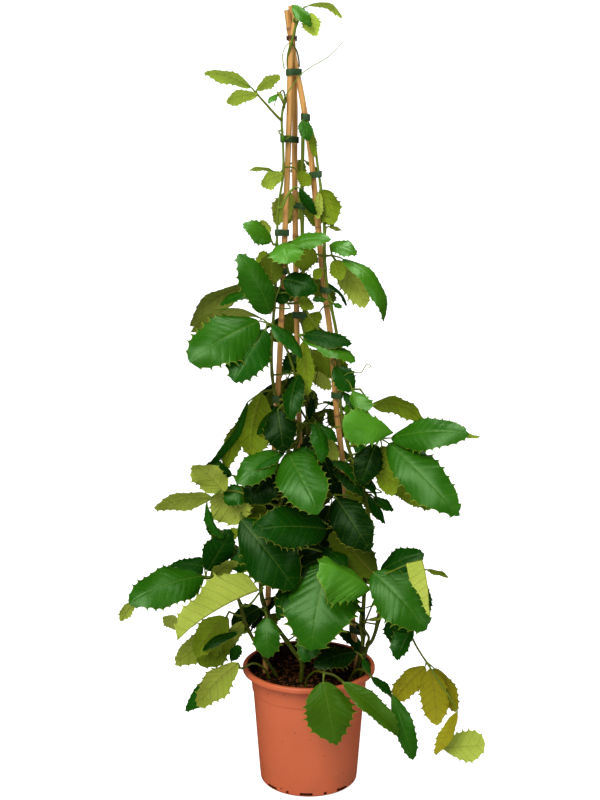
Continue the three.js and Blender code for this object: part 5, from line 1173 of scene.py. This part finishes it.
def face_direction(base, tip, roll):
    """The glossy face's direction: from the viewer, turned clockwise about the rib by the roll."""
    along = (tip - base).normalized()
    to_viewer = (EYE - (base + tip) / 2).normalized()
    facing = (to_viewer - along * to_viewer.dot(along)).normalized()
    turn = math.radians(roll)
    return facing * math.cos(turn) + along.cross(facing) * math.sin(turn)


def stalk(plant, places, start_width, end_width, shade):
    """Adds a stalk that swells a little at both ends, as petioles do."""
    if (places[-1] - places[0]).length < SHORTEST_STALK:
        return
    path = smooth_path(places, STALK_SPACING)
    widths = []
    for i in range(len(path)):
        f = i / (len(path) - 1)
        swell = 1 + 0.25 * hump(f, 0.06) + 0.2 * hump(1 - f, 0.06)
        widths.append((start_width + (end_width - start_width) * f) * swell)
    stalks[plant].append((path, widths, [shade] * len(path)))


def grow(plant, way, base, tip, width, normal, arch, fold, tone, shade=0.2, outline=()):
    """Adds a leaflet and, along the way to its base, the short stalk that holds it."""
    if way:
        stalk(plant, [*way, base.lerp(tip, 0.04)], PETIOLE_HUB, STALK_END, shade)
    blades[plant].append(leaflet(base, tip, width, normal, arch, fold, tone, rng, outline))


for plant, hub_place, petiole, leaflets in LEAVES:
    hub = seen(*hub_place)
    way = [seen(*place) for place in petiole] + [hub]
    root = nearest_on_stem(plant, way[0])
    if (root - hub).length > SHORTEST_PETIOLE:
        stalk(plant, [root, *way], PETIOLE_ROOT, PETIOLE_HUB, rng.uniform(0.1, 0.4))
    tip = hub
    for bx, bz, bd, tx, tz, td, width, roll, arch, fold, tone, *outline in leaflets:
        start = hub if (seen(bx, bz, bd) - hub).length < FAR_LEAFLET else tip
        base, tip = seen(bx, bz, bd), seen(tx, tz, td)
        grow(plant, [start, base], base, tip, width * CM, face_direction(base, tip, roll), arch, fold,
             tone, outline=outline)
print("measured leaflets:", sum(len(b) for b in blades.values()))

# %% [markdown]
# Between the noted leaves and the canes there are more single leaves, mostly in shade, and their deep and
# dark tones are painted shade. They fill the middle of the plant, so they need no leaflet work: base, tip,
# width, roll and tone are enough, and each hangs on the nearest stem.

# %% Inner leaves
# (plant, base, tip, width, roll of the glossy face, tone)
INNER_LEAVES = [
    ("vine_left", (-1.7, 95.9, -1), (0.1, 93.9, -0.6), 2.2, 160, "olive"),
    ("vine_right", (1.9, 89.5, -0.8), (3.7, 88, -1), 1.8, -130, "sage"),
    ("vine_right", (1.6, 75.1, -0.2), (-0.5, 72.2, 0.2), 2.6, 155, "olive"),
    ("vine_left", (-1.7, 77.3, -1.6), (0.6, 75.5, -1.8), 2.2, 150, "olive"),
    ("vine_left", (-3.4, 76.4, -0.8), (-5.3, 78.9, -0.6), 2.6, 20, "dark"),
    ("vine_right", (3.9, 66.8, -0.8), (6.7, 62.9, -1.6), 3.8, -20, "mid"),
    ("vine_back", (-1.4, 69, 1.8), (-3.5, 65.9, 1), 3, 10, "dark"),
    ("vine_back", (-1.7, 63.9, 1.8), (-3.2, 60.3, 1.2), 3, 20, "deep"),
    ("vine_right", (2.9, 55.9, -1.4), (4.3, 51.6, -1.8), 2.4, 150, "sage"),
    ("vine_back", (2.6, 54.3, 1.2), (-1.4, 53.7, 0.6), 4.6, 15, "deep"),
    ("vine_right", (10.5, 47.5, -2.8), (3.5, 52, -3.6), 3.6, 48, "dark"),
    ("vine_left", (-9.9, 47.5, -2.6), (-13.1, 45.3, -3.6), 3.8, 20, "mid"),
    ("vine_left", (-13.3, 39.3, -2.6), (-10.9, 40.9, -3), 2.2, 150, "olive"),
    ("vine_back", (4.7, 39.3, 0.6), (-0.8, 34.9, -1.4), 6, 15, "deep"),
    ("vine_back", (-0.5, 39.2, 0.8), (-3.9, 35.6, -1), 5.4, 10, "deep"),
    ("vine_right", (7.1, 35.9, -1.6), (2.7, 36.9, -3), 3.6, 10, "deep"),
    ("vine_back", (3.3, 44.9, 0.6), (1.4, 38, -0.6), 6.4, 5, "deep"),
    ("vine_back", (-1.4, 46.1, 0.8), (-3.6, 39.3, 0.2), 6, -5, "deep"),
    ("vine_left", (-7.3, 49.3, -0.6), (-3.7, 43.8, -0.4), 4.6, 0, "deep"),
    ("vine_back", (4.5, 50.5, 1.2), (6.7, 44.9, 0.8), 4.6, 0, "deep"),
    ("shoot_left", (-27.3, 29.4, -8.6), (-29.8, 26.1, -9.4), 2.2, 150, "sage"),
    ("shoot_left", (-20.4, 24.7, -5.2), (-23, 26.9, -5.6), 2.6, 150, "straw"),
    ("shoot_left", (-11.2, 24.2, -5.4), (-17.7, 20.9, -6.2), 1.9, 40, "dark"),
    ("shoot_left", (-10.4, 26, -3.4), (-13.9, 20.6, -3.6), 3, 150, "sage"),
    ("vine_right", (23.5, 56.2, -8), (26.3, 55.7, -8.2), 1.5, 120, "olive"),
    ("vine_left", (-7.3, 45.8, -0.8), (-9.2, 40.9, -0.6), 5, 150, "olive"),
    ("vine_back", (5.6, 36.1, 0.4), (3.6, 31.2, -0.4), 5, 0, "deep"),
    ("vine_back", (-1.4, 36.1, 0.8), (-3.3, 30.2, 0.2), 4.6, 8, "dark"),
    ("vine_left", (-4.6, 107.2, -2), (-6.1, 105.9, -2.6), 1.1, 40, "lime"),
    ("vine_left", (-4.2, 106.5, -1.9), (-4.8, 107.7, -2.3), 0.8, 120, "lime"),
    ("vine_left", (-3.9, 106.2, -1.6), (-4.3, 107.5, -1.9), 0.8, -120, "lime"),
    ("vine_left", (-4.9, 106.4, -2.2), (-5.2, 105.4, -2.4), 0.6, 100, "lime"),
    ("vine_left", (-4.2, 101.2, -1.6), (-3.8, 100.3, -2), 0.9, 50, "lime"),
    ("vine_left", (-3.5, 100.7, -1.8), (-4.2, 100.2, -2.2), 0.7, -70, "lime"),
    ("vine_back", (-1.9, 60.9, 0.4), (-3.6, 61.5, 0), 0.9, 20, "deep"),
    ("vine_back", (-1.9, 63.4, 0.6), (-3.5, 62.4, 0.2), 1.5, 10, "mid"),
    ("vine_back", (0.6, 61.8, 0.6), (0, 58.4, 0.4), 1.5, 30, "deep"),
    ("vine_back", (-2.9, 65.6, 0.9), (-4, 62.9, 0.6), 0.9, 110, "grey"),
    ("vine_back", (-2.8, 65.9, 0.9), (-4.1, 65.9, 0.6), 0.6, 30, "grey"),
    ("shoot_right", (9.3, 26.2, -4), (12.3, 27, -4.6), 0.9, 140, "sage"),
    ("vine_right", (6.6, 22.2, 1.5), (4.3, 24.5, 2.5), 0.9, 140, "sage"),
]
for plant, base_place, tip_place, width, roll, tone in INNER_LEAVES:
    base, tip = seen(*base_place), seen(*tip_place)
    hub = base + (base - tip).normalized() * 9 * MM
    root = nearest_on_stem(plant, hub)
    way = [root, hub] if (root - hub).length > 4 * MM else []
    grow(plant, way, base, tip, width * CM, face_direction(base, tip, roll), 0.09, 14, tone, shade=0.3)
print("with inner leaves:", sum(len(b) for b in blades.values()))

# %% [markdown]
# Short single leaves stand all round the stems in the shade, painted in by their deep and dark tones. Only
# their spread matters, so a rule places them: each turns on by the golden angle, which is how leaves follow
# one another up a stem.

# %% Shade leaves
GOLDEN_ANGLE, SHADE_LEAVES, LOWEST, SHADE_GAP = 137.5, 30, 24, 1.5
for i in range(SHADE_LEAVES):
    height, azimuth = LOWEST + SHADE_GAP * i, GOLDEN_ANGLE * i
    base = heading(azimuth, 0) * rng.uniform(3.5, 6) * CM + Vector((0, 1.5 * CM, height * CM))
    outward = heading(azimuth + rng.uniform(-25, 25), rng.uniform(-50, -15))
    tip = base + outward * rng.uniform(5.5, 8) * CM
    plant = min(stems, key=lambda p: (nearest_on_stem(p, base) - base).length)
    normal = heading(azimuth + rng.uniform(-40, 40), 50)
    normal = (normal - outward * normal.dot(outward)).normalized()
    # Deep and dark tones: painted shade inside the plant.
    tone = rng.choice(["deep", "dark", "dark", "mid"])
    grow(plant, [nearest_on_stem(plant, base), base], base, tip, rng.uniform(3, 4.5) * CM, normal, 0.1, 16,
         tone, shade=0.5)
print("with shade leaves:", sum(len(b) for b in blades.values()))

# %% [markdown]
# The hands of the far side grow from their table: a petiole that rises from the rear stem, and three
# leaflets that spread and droop from its hub. High leaves are younger, so they draw from fresher tones.

# %% Far side growth
HIGH_LEAVES = 60
for plant, height, reach, azimuth, rise, leaflet_length in BACK_LEAVES:
    root = min(stems[plant][0][0], key=lambda q: abs(q.z - height * CM))
    hub = root + heading(azimuth, rise) * reach * CM
    middle = root + heading(azimuth, rise + 15) * reach * CM / 2
    stalk(plant, [root, middle, hub], PETIOLE_ROOT, PETIOLE_HUB, rng.uniform(0.1, 0.4))
    tone = rng.choice(["dark", "mid", "mid", "fresh"] if height > HIGH_LEAVES else ["deep", "dark", "mid"])
    for spread, share in zip(HAND_SPREAD, HAND_SHARE):
        length = leaflet_length * CM * share
        base = hub + heading(azimuth + spread, 0) * HUB_SPAN
        tip = base + heading(azimuth + spread, -HAND_DROOP) * length
        normal = heading(azimuth + spread, 90 - HAND_DROOP)
        grow(plant, [hub, base], base, tip, 0.55 * length, normal, 0.1, 14, tone)
print("with the far side:", sum(len(b) for b in blades.values()))

# %% [markdown]
# ## Stems, tendrils and young growth
# The stems are woody and brown near the soil and turn green upwards. They thicken a little at the joints
# where leaves spring. The tip of the plant and some joints carry thin coiled tendrils.

# %% Stem finish
stem_skin, tree, shader = new_material("stem")
# The ramp's nearly black end is painted shade; only the rear twigs in the middle of the plant come near it.
STEM_COLOURS = [(0.0, (0.14, 0.24, 0.020)), (0.35, (0.10, 0.13, 0.006)), (0.7, (0.055, 0.070, 0.003)),
                (1.0, (0.018, 0.024, 0.002))]
shade = add(tree, "ShaderNodeAttribute", attribute_name="shade").outputs["Fac"]
varied, cloud = mottled(tree, ramp(tree, shade, STEM_COLOURS), 55.0, 0.16)
fill(shader, {
    "Base Color": varied,
    "Roughness": stepped(tree, cloud, 0.3, 0.7, 0.42, 0.62),
    "Specular IOR Level": 0.2,
    "Normal": bumped(tree, noise_at(tree, object_place(tree), 320.0, 3.0), 0.3, 0.0006)})

# %% [markdown]
# Tendrils and bare petioles, whose leaves have dropped or are out of sight, are noted in the same way: how
# thick, how dark, and where they go. The shade is how woody, and for the rear twigs in the middle also
# painted shade. Only the tendrils taper. They are laid on the same smooth paths as the stems, so they need
# no finish of their own.

# %% Tendrils
# (plant, radius in millimetres, shade, places)
TENDRILS = [
    ("vine_left", 0.8, 0.0, [
        (-3.8, 106.2, -1.4), (-3.7, 106.7, -1.8), (-2.6, 108.3, -2.4), (-1.3, 110, -2.4), (0.4, 111.2, -2.2),
        (2.4, 112.3, -1.8), (3.9, 113.6, -1.5), (4.9, 114.7, -1.4)]),
    ("vine_left", 0.8, 0.0, [
        (-3.7, 110.8, -1.6), (-3.9, 111.9, -1.9), (-3.9, 113.1, -2.1), (-3.4, 114.1, -2.1),
        (-2.6, 114.7, -2)]),
    ("vine_right", 1.0, 0.0, [
        (5, 65, -1.2), (5.9, 65.7, -1.6), (6.9, 65.8, -1.8), (7.9, 65.8, -1.8), (8.4, 66.5, -1.7),
        (8.7, 67, -1.6), (9.1, 67.1, -1.6), (9.4, 66.7, -1.6), (9.1, 66.5, -1.6)]),
]


def lay(plant, radius, shade, places, taper=0.0):
    """Adds a twig or tendril through places noted as seen."""
    path = seen_path(places, STEM_SPACING)
    widths = [radius * MM * (1 - taper * i / len(path)) for i in range(len(path))]
    stalks[plant].append((path, widths, [shade] * len(path)))


for tendril in TENDRILS:
    lay(*tendril, taper=0.45)
print("tendrils:", len(TENDRILS))

# %% Bare twigs
# (plant, radius in millimetres, shade, places)
# The rear twigs in the middle, with shades of 0.8 and more, are nearly black: painted shade of the plant's
# inside.
TWIGS = [
    ("vine_left", 1.2, 0.7, [
        (-2.6, 114.5, -1.4), (-1.9, 113.4, -1.2), (-1.6, 112.2, -0.9), (-1.5, 111.1, -0.4)]),
    ("vine_left", 1.3, 0.55, [
        (-4.3, 60.3, -1), (-2.9, 59.1, -1.6), (-1.2, 57.7, -1.8), (0, 57.3, -1.6)]),
    ("vine_left", 2.3, 0.35, [
        (-0.9, 57.5, -1.6), (-1.4, 56.7, -1.7), (-1.9, 55.1, -1.6), (-2.3, 53.4, -1.4),
        (-2.6, 51.8, -1)]),
    ("vine_back", 1.9, 0.95, [
        (-3.8, 70.1, 1.4), (-2.9, 68.2, 1.2), (-2.3, 65.9, 1), (-1.9, 63.4, 0.9), (-0.9, 62, 0.8),
        (0.3, 60.5, 0.7), (1.3, 58.9, 0.6), (2.1, 57.8, 0.5)]),
    ("vine_back", 1.7, 0.95, [
        (-2.5, 64, 0.9), (-1.9, 61.2, 0.6), (-1.1, 59.7, 0.5), (-0.2, 58.1, 0.4), (0.4, 56.8, 0.4)]),
    ("vine_back", 0.9, 0.95, [
        (1.3, 59.1, 0.7), (2.4, 60.3, 0.6), (3.8, 61.6, 0.4)]),
    ("vine_back", 0.9, 0.9, [
        (0, 56.8, 0.2), (-0.5, 55.4, 0.1), (-1.4, 54, 0.2), (-1.9, 52.4, 0.3)]),
    ("vine_back", 0.6, 0.9, [
        (1.3, 65.8, 0.6), (1, 64.8, 0.5), (0.9, 63.7, 0.4)]),
    ("vine_back", 1, 0.95, [
        (-2, 62.5, 0.7), (-0.8, 60.8, 1), (0.4, 59.4, 1.2), (1.4, 58.3, 1.4)]),
    ("vine_back", 0.8, 0.85, [
        (-2.9, 65.9, 1.6), (-3.4, 64, 1.2), (-2.9, 62.5, 0.9), (-2, 61.5, 0.7)]),
    ("vine_back", 0.7, 0.8, [
        (-4, 66, 0.8), (-3.5, 65.3, 0.6), (-3.8, 63.7, 0.5), (-3.2, 62, 0.4), (-3.4, 60.6, 0.4)]),
    ("vine_right", 1, 0.25, [
        (5, 64.8, -1.2), (5.9, 64.5, -1.8), (6.4, 63.7, -2.2), (6.6, 62.9, -2.6)]),
    ("vine_right", 0.8, 0.5, [
        (4.2, 66.6, -0.8), (4.7, 64.5, -1.2), (5.2, 62.5, -1.3), (5.7, 60.6, -1), (5.4, 58.4, -0.7)]),
    ("shoot_right", 2, 0.6, [
        (5.6, 26.2, -2.6), (7.3, 25.8, -3.4), (8.6, 24.7, -3.8), (9.5, 23.3, -3.6), (9.1, 22, -3.2)]),
    ("shoot_right", 1.8, 0.75, [
        (11.8, 27.7, -4.4), (11.1, 25.9, -4), (10.5, 23.8, -3.6), (9.8, 22.3, -3.3),
        (8.9, 21.6, -3.1)]),
    ("shoot_right", 1.9, 0.35, [
        (8.8, 29.8, -3), (8.3, 27.7, -3.2), (8.1, 25.9, -3.2), (8.3, 23.9, -3.1), (8.5, 21.9, -3.1)]),
    ("shoot_right", 1.4, 0.6, [
        (10.3, 29.5, -3.4), (9.2, 26.6, -3.6), (8.7, 25.1, -3.5), (8.6, 23.2, -3.2)]),
    ("shoot_right", 1, 0.3, [
        (9, 28.2, -3.6), (10.4, 28.8, -3.8), (11.7, 29.4, -4)]),
    ("vine_left", 1.5, 0.75, [
        (-1.5, 22.1, -3.9), (-1.1, 19.9, -4.2), (-0.8, 18.6, -4.6), (-1.2, 17.5, -4.7)]),
]
for twig in TWIGS:
    lay(*twig)
print("twigs:", len(TWIGS))

# %% [markdown]
# Now all lines of a plant are swept as one piece, and its blades are joined as another. The stems swell
# where a stalk springs, waver a little in thickness, taper upwards and grow less woody with height.

# %% Sweep stems and stalks
STALK_SIDES, JOINT_SWELL, JOINT_REACH = 10, 0.22, 6 * MM
WOODIEST, GREENEST, WOODY_HEIGHT, WOODY_FADE = 0.75, 0.2, 0.17, 0.8
leafy = {}
for plant, laid in stems.items():
    lines = list(stalks[plant])
    joints = [path[0] for path, _, _ in lines]
    for path, radius in laid:
        widths, shades = [], []
        for i, point in enumerate(path):
            nearest = min(((point - joint).length for joint in joints), default=1.0)
            swell = 1 + JOINT_SWELL * hump(nearest, JOINT_REACH)
            knob = 1 + 0.05 * noise.noise(point * 60)
            widths.append(radius * swell * knob * (1.04 - 0.12 * i / len(path)))
            shades.append(min(WOODIEST, max(GREENEST, WOODIEST - (point.z - WOODY_HEIGHT) * WOODY_FADE)))
        lines.append((path, widths, shades))
    leafy[plant] = [rods(plant + "_stems", lines, STALK_SIDES, stem_skin),
                    blades_mesh(plant + "_leaves", blades[plant], [leaf_upper, leaf_lower])]
    print(plant, [len(piece.data.polygons) for piece in leafy[plant]], "faces")

# %% [markdown]
# ## Ties
# Soft green plant tape goes round each cane and the stems beside it, pulled taut. Its outline is the convex
# hull of the round things it holds, which is what a taut band takes by itself.

# %% Tape finish
TAPE_GREEN, RUST = (0.034, 0.080, 0.026, 1), (0.085, 0.030, 0.012, 1)
tape, tree, shader = new_material("tie_tape")
green, cloud = mottled(tree, TAPE_GREEN, 90.0, 0.12)
fill(shader, {"Base Color": green, "Roughness": stepped(tree, cloud, 0.3, 0.7, 0.35, 0.5),
              "Specular IOR Level": 0.2})

wire_skin, tree, shader = new_material("wire_tie")
rusty, cloud = mottled(tree, RUST, 120.0, 0.2)
fill(shader, {"Base Color": rusty, "Roughness": 0.5})

# %% [markdown]
# Each band has its height and the things it holds. A band could be bent from a flat strip by a curve, but
# the hull gives its path directly, and a small cross-section is then carried round it. The tie nearest the
# top is a thin rusty wire, wound three times.

# %% Bands
# (name, height in centimetres, what it holds)
BANDS = [
  ["band_right_1", 24.6, ["cane_right", "vine_right"]],
  ["band_left_1", 62, ["cane_left", "vine_left"]],
  ["band_right_2", 62.3, ["cane_right", "vine_right"]],
  ["band_right_3", 78.4, ["cane_right", "vine_right"]],
  ["band_back_1", 74.2, ["cane_back", "vine_back"]],
  ["band_left_2", 81.3, ["cane_left", "vine_left"]],
  ["band_left_3", 87, ["cane_left", "vine_left"]],
  ["band_back_2", 91, ["cane_back", "vine_back"]],
  ["band_right_4", 95.5, ["cane_right", "vine_right"]],
  ["band_left_4", 100.7, ["cane_left", "vine_left", "cane_back"]],
  ["band_top_1", 110.3, ["cane_left", "cane_right", "cane_back"]],
  ["band_top_2", 115.2, ["cane_left", "cane_right", "cane_back"]],
]
# One more tie, which has no solid of its own
EXTRA_BAND = ["band_right_5", 103.9, ["cane_right", "vine_right"]]
BAND_HEIGHT, BAND_THICKNESS, BAND_SLACK, BAND_REACH = 9.5 * MM, 1.0 * MM, 0.5 * MM, 34 * MM
# Cross-section: shares of the thickness outwards and of the height upwards
SECTION = [(-0.5, -0.42), (-0.5, 0.42), (-0.2, 0.5), (0.2, 0.5), (0.5, 0.42), (0.5, -0.42), (0.2, -0.5),
           (-0.2, -0.5)]


def centre_at(path, height):
    """The middle of a rod at a height, or None above and below it."""
    for low, high in zip(path, path[1:]):
        if low.z <= height < high.z:
            return low.lerp(high, (height - low.z) / (high.z - low.z))
    return None


def taut_outline(rounds, extra, corners=20):
    """Convex outline round circles of (x, y, radius), as (point, outward direction)."""
    spots = []
    for x, y, radius in rounds:
        for i in range(corners):
            turn = 2 * math.pi * i / corners
            out = Vector((math.cos(turn), math.sin(turn), 0))
            spots.append((Vector((x, y, 0)) + out * (radius + extra), out))
    spots.sort(key=lambda s: (s[0].x, s[0].y))

    def chain(items):
        """One side of the outline: items that would dent it are dropped."""
        kept = []
        for item in items:
            while len(kept) > 1:
                first, second = kept[-1][0] - kept[-2][0], item[0] - kept[-2][0]
                if first.x * second.y - first.y * second.x > 1e-12:
                    break
                kept.pop()
            kept.append(item)
        return kept[:-1]

    return chain(spots) + chain(spots[::-1])


def tie(points, faces, height, held, tall, thick, lean):
    """Adds one taut loop to the lists of points and faces."""
    poles = [(cane_paths[thing], CANE_RADIUS) for thing in held if thing in cane_paths]
    poles += [pole for thing in held if thing in stems for pole in stems[thing]]
    middle = centre_at(poles[0][0], height)
    rounds = []
    for path, radius in poles:
        spot = centre_at(path, height)
        if spot and (spot - middle).length < BAND_REACH:
            for end in (-0.5, 0.5):
                edge = centre_at(path, height + end * tall) or spot
                rounds.append((edge.x, edge.y, radius * 1.05))
    outline = taut_outline(rounds, BAND_SLACK + thick / 2)
    first, count, corners = len(points), len(outline), len(SECTION)

    def ring(i, j):
        """Number of corner j of section i."""
        return first + (i % count) * corners + j % corners

    for i, (spot, out) in enumerate(outline):
        centre = Vector((spot.x, spot.y, height + lean * (spot - middle).x))
        points += [centre + out * off * thick + Vector((0, 0, up * tall)) for off, up in SECTION]
        faces += [(ring(i, j), ring(i + 1, j), ring(i + 1, j + 1), ring(i, j + 1)) for j in range(corners)]


WIRE_TIE, WIRE_TURNS, WIRE_THICKNESS = "band_top_2", (-2.0, -0.2, 1.7), 1.5 * MM
tape_mesh, wire_mesh = ([], []), ([], [])
for name, height, held in BANDS + [EXTRA_BAND]:
    if name == WIRE_TIE:
        for turn in WIRE_TURNS:
            tie(*wire_mesh, height * CM + turn * MM, held, WIRE_THICKNESS, WIRE_THICKNESS,
                rng.uniform(-0.08, 0.08))
    else:
        tie(*tape_mesh, height * CM, held, BAND_HEIGHT, BAND_THICKNESS, rng.uniform(-0.2, 0.2))
ties = mesh_object("plant_ties", *tape_mesh, [tape])
wire = mesh_object("wire_tie", *wire_mesh, [wire_skin])
for piece in (ties, wire):
    piece.data.shade_smooth()
    piece.data.set_sharp_from_angle(angle=math.radians(50))
print("ties:", len(ties.data.polygons), "faces of tape,", len(wire.data.polygons), "of wire")

# %% [markdown]
# ## Hand the pieces to the frame
# Each fine piece hides the solids it stands for. Nothing here moves, so all ride on the root.

# %% Replace the solids
def place_piece(piece, slot, *nodes):
    """Ties a piece to the root and hides the solids it stands for. The slot is not used."""
    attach(piece, "root")
    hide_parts(*nodes)


place_piece(pot, "terracotta_plastic", "pot")
place_piece(soil, "potting_soil", "soil")
place_piece(soil_crumbs, "potting_soil", "soil")
for name, piece in cane_pieces.items():
    place_piece(piece, "bamboo", name)
for plant, pieces in leafy.items():
    for piece in pieces:
        place_piece(piece, "foliage", plant)
place_piece(ties, "tie_tape", *[name for name, _, _ in BANDS if name != WIRE_TIE])
place_piece(wire, "tie_tape", WIRE_TIE)

# %% [markdown]
# ## Studio
# A pale floor, a large soft light from the upper left in front, a weaker one from the right, and a bright
# plain surround. Large lights give the glossy leaves their broad, soft sheen.

# %% Seamless paper
PAPER_HALF_WIDTH, PAPER_FRONT, COVE_START, COVE_RADIUS, PAPER_TOP = 7.0, -5.0, 2.2, 1.5, 7.0
BELOW_FOOT, PAPER_GREY = 0.5 * MM, (0.72, 0.72, 0.72, 1)
paper_line = [(PAPER_FRONT, 0.0)] + [
    (COVE_START + COVE_RADIUS * math.sin(math.radians(a)), COVE_RADIUS * (1 - math.cos(math.radians(a))))
    for a in range(0, 91, 6)] + [(COVE_START + COVE_RADIUS, PAPER_TOP)]
paper_points = [(x, y, z - BELOW_FOOT) for y, z in paper_line for x in (-PAPER_HALF_WIDTH, PAPER_HALF_WIDTH)]
backdrop = mesh_object("studio_paper", paper_points,
                       [(2 * i, 2 * i + 1, 2 * i + 3, 2 * i + 2) for i in range(len(paper_line) - 1)])
backdrop.data.shade_smooth()
backdrop.visible_glossy = False
paper, tree, shader = new_material("studio_paper")
pale, cloud = mottled(tree, PAPER_GREY, 2.0, 0.01)
seen_directly = add(tree, "ShaderNodeLightPath").outputs["Is Camera Ray"]
fill(shader, {"Base Color": pale, "Roughness": 0.9, "Emission Color": (1, 1, 1, 1),
              "Emission Strength": value_of(tree, "MULTIPLY", seen_directly, 0.85)})
backdrop.data.materials.append(paper)

# %% [markdown]
# The lights are large discs, aimed at the middle of the plant. The surround adds a low even light, and
# isn't mirrored in the leaves, so they keep their dark green.

# %% Lights
def soft_light(name, place, target, size, watts):
    """A round area light that faces its target."""
    light = bpy.data.lights.new(name, "AREA")
    light.shape, light.size, light.energy = "DISK", size, watts
    lamp = bpy.data.objects.new(name, light)
    bpy.context.collection.objects.link(lamp)
    lamp.location = place
    lamp.rotation_euler = (Vector(target) - Vector(place)).to_track_quat("-Z", "Y").to_euler()


soft_light("key", (-1.1, -2.0, 2.7), target=(0, 0, 0.55), size=2.2, watts=96)
soft_light("fill", (2.2, -2.2, 1.3), target=(0, 0, 0.5), size=1.2, watts=11)
soft_light("top", (0.4, 0.2, 2.9), target=(0, 0, 0.6), size=1.2, watts=30)
world = bpy.data.worlds.new("studio")
world.use_nodes = True
fill(world.node_tree.nodes["Background"], {"Color": (1, 1, 1, 1), "Strength": 0.34})
bpy.context.scene.world = world
world.cycles_visibility.glossy = False
bpy.context.scene.view_settings.view_transform = "Standard"

# %% [markdown]
# The camera stands at the viewpoint that every place was noted from, a little above the middle of the
# plant, and looks slightly down.

# %% Camera
LENS, SENSOR, CAMERA_TILT = 58.5, 36, 79.8
camera_data = bpy.data.cameras.new("camera")
camera_data.lens, camera_data.sensor_width = LENS, SENSOR
camera_data.dof.use_dof = False
camera = bpy.data.objects.new("camera", camera_data)
bpy.context.collection.objects.link(camera)
camera.location = EYE
camera.rotation_euler = (math.radians(CAMERA_TILT), 0, 0)
bpy.context.scene.camera = camera
